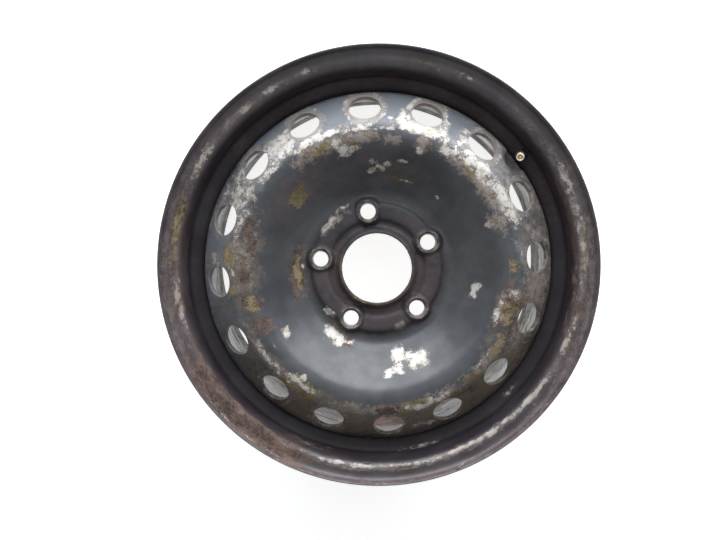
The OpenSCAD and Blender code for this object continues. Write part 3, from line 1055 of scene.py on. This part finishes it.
def field_value(tree, name):
    """A field of the surface as a shader value."""
    return put(tree, "ShaderNodeAttribute", attribute_name=name).outputs["Fac"]


def bumped(tree, height, strength, distance):
    """A normal that a height bends."""
    bump = put(tree, "ShaderNodeBump", {"Height": height, "Strength": strength, "Distance": distance})
    return bump.outputs[0]


def grainy(tree, vector, dark, light):
    """Rust or undercoat between two tones."""
    return placed_group(tree, rust_group, {"Vector": vector, "Dark": rgba(dark), "Light": rgba(light)})


def round_the_wheel(tree, place, reach):
    """Coordinates that draw a texture out along the rolling of the sheet, more for a small reach."""
    flat = put(tree, "ShaderNodeVectorMath", {0: place, 1: (1.0, 1.0, 0.0)}, operation="MULTIPLY")
    outward = put(tree, "ShaderNodeVectorMath", {0: flat.outputs[0]}, operation="NORMALIZE")
    ring = put(tree, "ShaderNodeVectorMath", {0: outward.outputs[0], "Scale": reach}, operation="SCALE")
    along = put(tree, "ShaderNodeCombineXYZ", {"Z": field_value(tree, "run")})
    both = put(tree, "ShaderNodeVectorMath", {0: ring.outputs[0], 1: along.outputs[0]}, operation="ADD")
    return both.outputs[0]


def barrel_dust(tree, place, finish):
    """Pale barrel, partly dust and partly painted backlight, streaked and cracked with soot along its
    rolling.
    """
    rolled_out = round_the_wheel(tree, place, BARREL_REACH)
    streaks = ramped(tree, noise(tree, rolled_out, 95, 7, 0.68), 0.42, 0.66, 0.0, 0.8)
    swing = math_node(tree, "SUBTRACT", noise(tree, rolled_out, 60, 6, 0.68), 0.5)
    cracks = ramped(tree, math_node(tree, "ABSOLUTE", swing), 0.008, 0.045, 0.92, 0.0)
    soot = math_node(tree, "MAXIMUM", streaks, cracks)
    return mixed(tree, soot, rgba(finish.barrel), rgba(BARREL_SOOT))


def worn_paint(name, finish, rolled=False):
    """Black paint under dirt, undercoat, rust, bare steel and painted sheen where the wear fields say."""
    material, tree, shader, place = new_material(name)
    feed(tree, shader, Specular_IOR_Level=0.2, Coat_IOR=1.6, Coat_Roughness=0.4)
    flow = round_the_wheel(tree, place, ROLL_REACH) if rolled else place
    paint = placed_group(tree, paint_group, {
        "Vector": place, "Colour": rgba(finish.rim_paint if rolled else finish.paint),
        "Dust": rgba(PAINT_HAZE),
    })
    rust = grainy(tree, flow, finish.rust_dark, finish.rust_light)
    undercoat = grainy(tree, flow, finish.tan, finish.cream)
    stain = ramped(tree, noise(tree, flow, 130, 6, 0.65), 0.42, 0.68, 0.0, 0.7)
    steel = mixed(tree, stain, rgba(finish.dull if rolled else finish.bare), undercoat["Colour"])
    pits = ramped(tree, noise(tree, flow, 260, 5, 0.7), 0.6, 0.68, 0.0, 0.6)
    steel = mixed(tree, pits, steel, rust["Colour"])
    thin = rgba(finish.scuff if rolled else finish.halo)
    # The dust tone is partly a painted sheen, and the halo and bare tones hold a few painted highlights.
    tones = {
        "dust": rgba(finish.dust), "film": rgba(finish.film), "dirt": rgba(finish.dirt), "halo": thin,
        "rust": rust["Colour"], "tan": undercoat["Colour"], "bare": steel,
    }
    matte = field_value(tree, "matte")
    colour = paint["Colour"]
    roughness = blended(tree, matte, paint["Roughness"], 0.85)
    if rolled:
        # The barrel's pale tone is partly painted backlight.
        colour = mixed(tree, field_value(tree, "inside"), colour, barrel_dust(tree, place, finish))
    worn = 0.0
    for label, (scale, ragged, soft, rough) in WEAR_LAYERS.items():
        flakes = placed_group(tree, flake_group, {
            "Vector": flow, "Field": field_value(tree, label), "Scale": scale, "Ragged": ragged,
            "Soft": max(soft, RIM_SOFT) if rolled else soft,
        })
        if label == "bare":
            colour = mixed(tree, math_node(tree, "MULTIPLY", flakes["Fringe"], 0.6), colour, thin)
        colour = mixed(tree, flakes["Mask"], colour, tones[label])
        roughness = blended(tree, flakes["Mask"], roughness, rough)
        if label in ("rust", "tan", "bare"):
            worn = math_node(tree, "MAXIMUM", worn, flakes["Mask"])
    film = math_node(tree, "SUBTRACT", 1.0, worn)
    grain = math_node(tree, "MULTIPLY", math_node(tree, "MULTIPLY", rust["Height"], worn), 0.6)
    texture = math_node(tree, "MULTIPLY", paint["Height"], 0.12)
    height = math_node(tree, "ADD", math_node(tree, "ADD", film, grain), texture)
    polish = ramped(tree, noise(tree, place, 32, 5, 0.6), 0.35, 0.65, 0.6, 1.0)
    kept = math_node(tree, "MULTIPLY", film, math_node(tree, "SUBTRACT", 1.0, matte))
    feed(
        tree, shader, Base_Color=colour, Roughness=roughness,
        Metallic=math_node(tree, "MULTIPLY", flakes["Mask"], 0.35),
        Coat_Weight=math_node(tree, "MULTIPLY", kept, polish), Normal=bumped(tree, height, 0.5, 0.15 * MM),
    )
    return material


def weld_paint(finish):
    """Painted weld metal with rust in its ripples."""
    material, tree, shader, place = new_material("weld_paint")
    paint = placed_group(tree, paint_group, {
        "Vector": place, "Colour": rgba(finish.paint), "Dust": rgba(WELD_HAZE),
    })
    rust = grainy(tree, place, finish.rust_dark, finish.rust_light)
    mask = placed_group(tree, flake_group, {
        "Vector": place, "Field": 0.45, "Scale": 120.0, "Ragged": 1.6, "Soft": 0.06,
    })["Mask"]
    colour = mixed(tree, mask, paint["Colour"], rust["Colour"])
    roughness = blended(tree, mask, paint["Roughness"], 0.85)
    normal = bumped(tree, rust["Height"], 0.4, 0.2 * MM)
    feed(tree, shader, Base_Color=colour, Roughness=roughness, Normal=normal)
    return material


def valve_rubber(finish):
    """Black rubber, greyed by dust."""
    material, tree, shader, place = new_material("valve_rubber")
    dust = ramped(tree, noise(tree, place, 300, 6, 0.65), 0.45, 0.75, 0.0, 0.5)
    colour = mixed(tree, dust, rgba(finish.rubber), rgba(RUBBER_DUST))
    roughness = ramped(tree, dust, 0, 0.5, 0.5, 0.8)
    normal = bumped(tree, noise(tree, place, 1500), 0.3, 0.05 * MM)
    feed(tree, shader, Base_Color=colour, Roughness=roughness, Normal=normal)
    return material


def small_metal(name, colour, tarnish, metallic):
    """Small turned metal with tarnish in patches."""
    material, tree, shader, place = new_material(name)
    dull = ramped(tree, noise(tree, place, 900, 6, 0.65), 0.42, 0.7)
    tone = mixed(tree, dull, rgba(colour), rgba(tarnish))
    rough = ramped(tree, dull, 0, 1, 0.25, 0.6)
    feed(tree, shader, Base_Color=tone, Roughness=rough, Metallic=metallic)
    return material


def seal_plastic():
    """Red sealing ring with a faint mottle."""
    material, tree, shader, place = new_material("seal_plastic")
    tone = mixed(tree, noise(tree, place, 900), rgba(SEAL_DARK), rgba(SEAL_LIGHT))
    rough = ramped(tree, noise(tree, place, 1400), 0.3, 0.7, 0.35, 0.55)
    feed(tree, shader, Base_Color=tone, Roughness=rough)
    return material


# The wheel's pieces


def valve_frame():
    """Matrix with Z along the valve, X outwards in the wheel's section, and zero at the stem's mouth."""
    mouth = THREAD_MIDDLE + VALVE_AXIS * THREAD_LENGTH / 2
    around = Vector((0, 0, 1)).cross(THREAD_MIDDLE.normalized()).normalized()
    outward = around.cross(VALVE_AXIS).normalized()
    turned = Matrix((outward, around, VALVE_AXIS)).transposed()
    return Matrix.LocRotScale(mouth, turned.to_quaternion(), None)


def raise_pads(points, shown, form):
    """Lifts the front of the disc into a pad round each bolt hole."""
    gap = nearest(points, ring_places(BOLT_COUNT, form.first_bolt, BOLT_CIRCLE_R))
    foot = form.pad_d / 2
    share = np.minimum((foot - gap) / (form.pad_rise * PAD_SIDE_RUN), 1)
    pad = HUB_FACE_Z + form.pad_up - form.pad_rise * (1 - share)
    near = shown & (gap < foot * PAD_REACH)
    points[near, 2] = smooth_max(pad, points[:, 2], PAD_FILLET)[near]


def press_bay(points, shown, form):
    """Presses the disc's shoulder away from the valve, at one thickness of sheet."""
    local = moved(points, valve_frame().inverted())
    behind = np.where(shown, 0, form.sheet)
    floor = -form.valve_len + BAY_FLOOR_UP - behind
    reach = (form.bay_r + behind) * smooth_step(local[:, 2] - floor, 0, BAY_EASE)
    across = local[:, 0] + form.bay_shift
    gap = np.hypot(across, local[:, 1])
    pushed = smooth_max(reach, gap, BAY_FILLET) / np.maximum(gap, MERGE_DISTANCE)
    push = np.where(gap < reach * BAY_REACH, pushed, 1)
    local[:, 0] = across * push - form.bay_shift
    local[:, 1] = local[:, 1] * push
    points[:] = moved(local, valve_frame())


def punches(name, stations, **values):
    """Round cutters, with a radius at each station along their line, at equal turns round the wheel."""
    points = [(0, 0, along) for along, _ in stations]
    line = drawn_line(name, points, False, width=[width for _, width in stations])
    return face_outwards(grown(punch_tree(), line, **values))


def vent_punches(form, material):
    """Cutters for the vents, flared where the sheet's edge is rounded by the punch."""
    radius = form.vent_d / 2
    low, high = [count * form.sheet for count in VENT_SPAN_SHEETS]
    bends = np.radians(np.linspace(0, EDGE_TURN, 5))
    edge = [(EDGE_ROLL * math.sin(a) - EDGE_ROLL, radius + EDGE_ROLL * (1 - math.cos(a))) for a in bends]
    stations = [(low, radius), *edge, (high, radius + EDGE_ROLL + high * VENT_FLARE)]
    return punches(
        "vent_punch", stations, count=form.vent_count, ring_radius=form.vent_ring_r,
        height=HUB_FACE_Z + form.vent_up, first_turn=form.first_bolt, lean=form.vent_lean, sides=72,
        material=material,
    )


def bolt_punches(form, material):
    """Cutters for the bolt holes with their conical seats."""
    mouth = form.pad_up - MOUTH_BELOW_TOP
    top = form.pad_up + BOLT_PUNCH_OVER
    stations = [
        (BOLT_PUNCH_LOW, BOLT_HOLE_R),
        (form.seat_up, BOLT_HOLE_R),
        (mouth, BOLT_HOLE_R + (mouth - form.seat_up) * SEAT_SLOPE),
        (top, BOLT_HOLE_R + (top - form.seat_up) * SEAT_SLOPE + MOUTH_FLARE),
    ]
    return punches(
        "bolt_punch", stations, count=BOLT_COUNT, ring_radius=BOLT_CIRCLE_R, height=HUB_FACE_Z,
        first_turn=form.first_bolt, lean=0.0, sides=56, material=material,
    )


def valve_punch(form, material):
    """Cutter for the valve hole, on the valve's own line."""
    seat = THREAD_MIDDLE + VALVE_AXIS * (THREAD_LENGTH / 2 - form.valve_len)
    across = Vector((seat.x, seat.y)).length
    outward = (VALVE_AXIS.x * seat.x + VALVE_AXIS.y * seat.y) / across
    stations = [(along, form.valve_hole_d / 2) for along in VALVE_SPAN]
    return punches(
        "valve_punch", stations, count=1, ring_radius=across, height=seat.z, sides=64, material=material,
        first_turn=math.atan2(seat.y, seat.x), lean=math.atan2(outward, VALVE_AXIS.z),
    )


def joined(first, second):
    """Two meshes as one."""
    work = bmesh.new()
    work.from_mesh(first)
    work.from_mesh(second)
    work.to_mesh(first)
    work.free()
    return first


def wear_and_sheen_on_disc(mesh, form):
    """Sets the wear fields of the disc, some of whose rows paint sheen and highlights."""
    points = points_of(mesh)
    radius = np.hypot(points[:, 0], points[:, 1]) / MM
    aside, away = wander(points, DISC_WANDER)
    clock = clock_of(points) + np.degrees(aside / radius)
    shown = field_of(mesh, "run") >= 0
    front = {label: patch_field(clock, radius + away, patches) for label, patches in DISC_WEAR_AND_SHEEN.items()}
    for turn, thinned, gone in VENT_HALOS:
        angle = math.radians(90 - turn)
        middle = form.vent_ring_r * np.array([[math.cos(angle), math.sin(angle)]])
        gap = nearest(points, middle) / MM + away
        front["halo"] = np.maximum(front["halo"], thinned * (1 - smooth_step(gap, *HALO_END)))
        front["bare"] = np.maximum(front["bare"], gone * ring_field(gap, *VENT_RING))
    gap = nearest(points, ring_places(BOLT_COUNT, form.first_bolt, BOLT_CIRCLE_R)) / MM
    front["halo"] = np.maximum(front["halo"], BOLT_RING_PALE * ring_field(gap, *BOLT_RING))
    hub = HUB_DULL * (1 - smooth_step(radius, *HUB_END))
    dull = np.maximum(hub, patch_field(clock, radius + away, DISC_MATTE))
    front["matte"] = np.maximum(dull, smooth_step(radius, *EDGE_START))
    back_clock = (clock * BACK_COPIES + BACK_TURN) % 360
    for label, values in front.items():
        back = BACK_EVEN.get(label)
        if back is None:
            back = BACK_SHARE * patch_field(back_clock, radius + away + BACK_SHIFT, DISC_WEAR_AND_SHEEN[label])
        set_field(mesh, label, np.where(shown, values, back))


def wear_rim(mesh):
    """Sets the wear fields of the rim."""
    points = points_of(mesh)
    aside, away = wander(points, RIM_WANDER)
    clock = clock_of(points) + np.degrees(aside * MM / RIM_HIGH.x)
    run = field_of(mesh, "run") / MM
    shown = run >= 0
    from_edge = np.minimum(-run, run - run.min())
    seat = smooth_step(from_edge, *SEAT_START) * (1 - smooth_step(from_edge, *SEAT_END))
    for label, patches in RIM_WEAR.items():
        plain, seated = TYRE_SIDE[label]
        tyre_side = plain + (seated - plain) * seat
        set_field(mesh, label, np.where(shown, patch_field(clock, run + away, patches), tyre_side))
    set_field(mesh, "inside", np.where(shown, smooth_step(run, *BARREL_START), 0))
    air_side = FLANGE_DULL + (SEAT_DULL - FLANGE_DULL) * smooth_step(run, *DULL_START)
    set_field(mesh, "matte", np.where(shown, air_side, TYRE_SIDE_DULL))


class WheelOperator:
    """What the wheel's operators share."""

    bl_options = {"REGISTER", "UNDO"}


class WHEEL_OT_rim(WheelOperator, bpy.types.Operator):
    """Turns the rolled rim from its section and cuts its valve hole"""

    bl_idname = "wheel.rim"
    bl_label = "Rim"

    def execute(self, context):
        form = context.scene.wheel_form
        outline = evenly_spaced(section_of("rim", form.section_turn), RIM_STEP_SHARE * form.section_step)
        outline = softened(outline, 1)
        front, rear = outline[:, 1].argmax(), outline[:, 1].argmin()
        run = sheet_run(outline, front, rear, 0, -1)
        material = worn_paint("rim_paint", context.scene.wheel_finish, rolled=True)
        mesh = turned_sheet("rim", outline, form.turn_steps, material, run=run)
        mesh = cut_away(mesh, valve_punch(form, material))
        wear_rim(mesh)
        finish_piece("rim_shell", mesh, WHEEL_BODY, ["rim"])
        return {"FINISHED"}


class WHEEL_OT_disc(WheelOperator, bpy.types.Operator):
    """Turns the pressed disc, raises its pads and bay, and punches its holes"""

    bl_idname = "wheel.disc"
    bl_label = "Disc"

    def execute(self, context):
        form = context.scene.wheel_form
        outline = section_of("disc", form.section_turn)
        outline = softened(evenly_spaced(outline, form.section_step, BORE_R + COLLAR_WIDTH), 1)
        lip = np.where(outline[:, 0] < BORE_R + 2 * form.sheet, outline[:, 1], 0).argmax()
        run = sheet_run(outline, outline[:, 1].argmin(), lip, 1, 1)
        material = worn_paint("disc_paint", context.scene.wheel_finish)
        mesh = turned_sheet("disc", outline, form.turn_steps, material, run=run)
        points = points_of(mesh)
        shown = field_of(mesh, "run") >= 0
        raise_pads(points, shown, form)
        press_bay(points, shown, form)
        set_points(mesh, points)
        mesh = cut_away(mesh, vent_punches(form, material))
        mesh = cut_away(mesh, bolt_punches(form, material))
        wear_and_sheen_on_disc(mesh, form)
        finish_piece("disc_shell", mesh, WHEEL_BODY, ["disc"])
        return {"FINISHED"}


class WHEEL_OT_welds(WheelOperator, bpy.types.Operator):
    """Lays the weld runs between the disc and the rim"""

    bl_idname = "wheel.welds"
    bl_label = "Welds"

    def execute(self, context):
        form = context.scene.wheel_form
        points = points_of(frame["nodes"]["disc_welds"].data)
        ring_radius = np.hypot(points[:, 0], points[:, 1]).max()
        top = points[:, 2].max()
        leg = top - points[:, 2].min()
        bend = np.radians(np.linspace(0, 90, 9))
        bead = [(-leg * math.sin(a) ** WELD_BULGE, leg * math.cos(a) ** WELD_BULGE, 0) for a in bend]
        line = drawn_line("weld_section", [(0, 0, 0)] + bead, True)
        mesh = face_outwards(grown(
            weld_tree(), line, count=form.weld_count, ring_radius=ring_radius, height=top,
            first_turn=form.first_bolt - form.weld_run / 2, run_angle=form.weld_run,
            ripple=form.weld_ripple, material=weld_paint(context.scene.wheel_finish),
        ))
        finish_piece("weld_runs", mesh, WHEEL_BODY, ["disc_welds"], sharp=WELD_SHARP)
        return {"FINISHED"}


class WHEEL_OT_valve(WheelOperator, bpy.types.Operator):
    """Moulds the valve's rubber, threads its stem and gives its small pieces their finishes"""

    bl_idname = "wheel.valve"
    bl_label = "Valve"

    def execute(self, context):
        form = context.scene.wheel_form
        finish = context.scene.wheel_finish
        brass = small_metal("valve_brass", finish.brass, BRASS_TARNISH, 0.5)
        # The core is painted dark as shade inside the stem's mouth.
        plug = small_metal("core_brass", CORE_SHADED_BRASS, CORE_SHADED_TARNISH, 0.6)
        steel = small_metal("pin_steel", PIN_STEEL, PIN_TARNISH, 0.9)
        self.mould_body(valve_rubber(finish))
        self.thread_stem(form, brass)
        self.wind_spring(form, steel)
        finishes = {"valve_core": plug, "valve_core_seal": seal_plastic(), "valve_pin": steel}
        for node, material in finishes.items():
            mesh = frame["nodes"][node].data
            mesh.materials.clear()
            mesh.materials.append(material)
        return {"FINISHED"}

    def mould_body(self, rubber):
        """Turns the rubber body with its corners rounded."""
        outline = evenly_spaced(section_of("valve_body", 0, valve_frame().inverted()), RUBBER_STEP)
        mesh = turned_sheet("valve_body", softened(outline, RUBBER_PASSES), VALVE_TURN_STEPS, rubber)
        mesh.transform(valve_frame())
        finish_piece("valve_rubber_body", mesh, WHEEL_BODY, ["valve_body"])

    def thread_stem(self, form, brass):
        """Turns the stem down to the root of its cap thread and winds the ridge on it."""
        outline = evenly_spaced(section_of("valve_stem", 0, valve_frame().inverted()), STEM_STEP)
        root = THREAD_R - form.thread_depth
        low, high = -THREAD_LENGTH + 2 * form.thread_pitch, -form.thread_pitch
        cut = (outline[:, 0] > root) & (outline[:, 1] > low) & (outline[:, 1] < high)
        outline[cut, 0] = root
        mesh = turned_sheet("valve_stem", outline, VALVE_TURN_STEPS, brass)
        flank = form.thread_pitch * FLANK_SHARE
        crest = CREST_SHARE * flank
        ridge = [
            (-RIDGE_SINK, -flank, 0), (form.thread_depth, -crest, 0),
            (form.thread_depth, crest, 0), (-RIDGE_SINK, flank, 0),
        ]
        thread = face_outwards(grown(
            thread_tree(), drawn_line("thread_section", ridge, True), radius=root, pitch=form.thread_pitch,
            length=high - low, material=brass,
        ))
        thread.transform(Matrix.Translation((0, 0, low)))
        mesh = joined(mesh, thread)
        mesh.transform(valve_frame())
        finish_piece("valve_stem_threaded", mesh, WHEEL_BODY, ["valve_stem"])

    def wind_spring(self, form, steel):
        """Winds the spring in the place of its solid."""
        points = moved(points_of(frame["nodes"]["valve_spring"].data), valve_frame().inverted())
        radii = np.hypot(points[:, 0], points[:, 1])
        wire = (radii.max() - radii.min()) / 2
        low, high = points[:, 2].min(), points[:, 2].max()
        rise = high - low - 2 * wire
        bend = np.linspace(0, math.tau, WIRE_SIDES, endpoint=False)
        section = [(wire * math.cos(a), wire * math.sin(a), 0) for a in bend]
        mesh = face_outwards(grown(
            thread_tree(), drawn_line("wire_section", section, True), radius=radii.min() + wire,
            pitch=rise / form.spring_turns, length=rise, material=steel,
        ))
        mesh.transform(valve_frame() @ Matrix.Translation((0, 0, low + wire)))
        spring = finish_piece("valve_spring_coil", mesh, WHEEL_BODY, ["valve_spring"])
        valve_frame() @ Vector((0, 0, low))
        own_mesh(spring)


def soft_box(name, place, aim, width, height, power):
    """A rectangular lamp that points at its aim and doesn't show itself to the camera."""
    lamp = bpy.data.lights.new(name, "AREA")
    lamp.shape = "RECTANGLE"
    lamp.size = width
    lamp.size_y = height
    lamp.energy = power
    lamp.color = LAMP_TINT
    box = bpy.data.objects.new(name, lamp)
    box.location = place
    box.rotation_euler = (Vector(aim) - Vector(place)).to_track_quat("-Z", "Y").to_euler()
    box.visible_camera = False
    bpy.context.scene.collection.objects.link(box)


def seen_ray(tree):
    """1 for rays that the camera, a glossy or a clear surface sends, else 0."""
    path = put(tree, "ShaderNodeLightPath").outputs
    glossy = math_node(tree, "MAXIMUM", path["Is Glossy Ray"], path["Is Transmission Ray"])
    return math_node(tree, "MAXIMUM", path["Is Camera Ray"], glossy)


class WHEEL_OT_stage(WheelOperator, bpy.types.Operator):
    """Sets up the floor, the lamps, the world and the camera"""

    bl_idname = "wheel.stage"
    bl_label = "Stage"

    def execute(self, context):
        stage = context.scene.wheel_stage
        self.add_floor(context, stage)
        self.add_world(context, stage)
        powers = (stage.key_power, stage.fill_power, stage.back_power)
        for (name, setting), power in zip(LAMPS.items(), powers):
            soft_box(name, *setting, power)
        self.add_camera(context, stage)
        context.scene.view_settings.view_transform = "Standard"
        return {"FINISHED"}

    def add_floor(self, context, stage):
        """Lays a pale floor that glows a little where it is seen, so that it is white in the picture."""
        half = stage.floor_size / 2
        corners = [(-half, -half, 0), (half, -half, 0), (half, half, 0), (-half, half, 0)]
        mesh = bpy.data.meshes.new("floor")
        mesh.from_pydata(corners, [], [(0, 1, 2, 3)])
        material, tree, shader, place = new_material("floor_paper")
        tone = mixed(tree, noise(tree, place, 3), rgba(stage.floor_colour), rgba(FLOOR_MOTTLE))
        feed(tree, shader, Base_Color=tone, Roughness=0.9)
        strength = math_node(tree, "MULTIPLY", seen_ray(tree), stage.floor_glow)
        glow = put(tree, "ShaderNodeEmission", {"Color": WHITE, "Strength": strength})
        both = put(tree, "ShaderNodeAddShader", {0: shader.outputs[0], 1: glow.outputs[0]})
        out = next(node for node in tree.nodes if node.type == "OUTPUT_MATERIAL")
        tree.links.new(both.outputs[0], out.inputs["Surface"])
        mesh.materials.append(material)
        floor = bpy.data.objects.new("floor", mesh)
        context.scene.collection.objects.link(floor)

    def add_world(self, context, stage):
        """Gives the world a dim light that shows as white."""
        world = bpy.data.worlds.new("studio")
        world.use_nodes = True
        tree = world.node_tree
        tree.nodes.clear()
        strength = blended(tree, seen_ray(tree), stage.ambient, 1.0)
        sky = put(tree, "ShaderNodeBackground", {"Color": WHITE, "Strength": strength})
        put(tree, "ShaderNodeOutputWorld", {"Surface": sky.outputs[0]})
        context.scene.world = world

    def add_camera(self, context, stage):
        """Sets the camera over the wheel with Y up in the picture."""
        camera = bpy.data.objects.new("camera", bpy.data.cameras.new("camera"))
        camera.data.lens = stage.lens
        camera.data.sensor_fit = "HORIZONTAL"
        camera.data.sensor_width = SENSOR_WIDTH
        forward = (Vector(stage.camera_aim) - Vector(stage.camera_place)).normalized()
        right = forward.cross(Vector((0, 1, 0))).normalized()
        up = right.cross(forward)
        turned = Matrix((right, up, -forward)).transposed()
        camera.matrix_world = Matrix.LocRotScale(stage.camera_place, turned.to_quaternion(), None)
        context.scene.collection.objects.link(camera)
        context.scene.camera = camera


class WHEEL_PT_panel(bpy.types.Panel):
    """Lists the wheel's pieces and settings"""

    bl_label = "Steel wheel"
    bl_idname = "WHEEL_PT_panel"
    bl_space_type = "VIEW_3D"
    bl_region_type = "UI"
    bl_category = "Wheel"

    def draw(self, context):
        for operator in PIECES:
            self.layout.operator(operator.bl_idname)
        for group in (context.scene.wheel_form, context.scene.wheel_finish, context.scene.wheel_stage):
            box = self.layout.box()
            for name in group.__annotations__:
                box.prop(group, name)


PIECES = (WHEEL_OT_rim, WHEEL_OT_disc, WHEEL_OT_welds, WHEEL_OT_valve, WHEEL_OT_stage)
SETTINGS = {"wheel_form": WheelForm, "wheel_finish": WheelFinish, "wheel_stage": WheelStage}


def register():
    """Registers the settings, the operators and the panel."""
    for group in SETTINGS.values():
        bpy.utils.register_class(group)
    for shown in (*PIECES, WHEEL_PT_panel):
        bpy.utils.register_class(shown)
    for name, group in SETTINGS.items():
        setattr(bpy.types.Scene, name, PointerProperty(type=group))


def unregister():
    """Takes back what register did."""
    for name in SETTINGS:
        delattr(bpy.types.Scene, name)
    for shown in reversed((*SETTINGS.values(), *PIECES, WHEEL_PT_panel)):
        bpy.utils.unregister_class(shown)


def main():
    """Makes every piece and the stage."""
    register()
    bpy.ops.wheel.rim()
    bpy.ops.wheel.disc()
    bpy.ops.wheel.welds()
    bpy.ops.wheel.valve()
    bpy.ops.wheel.stage()


if __name__ == "__main__":
    main()
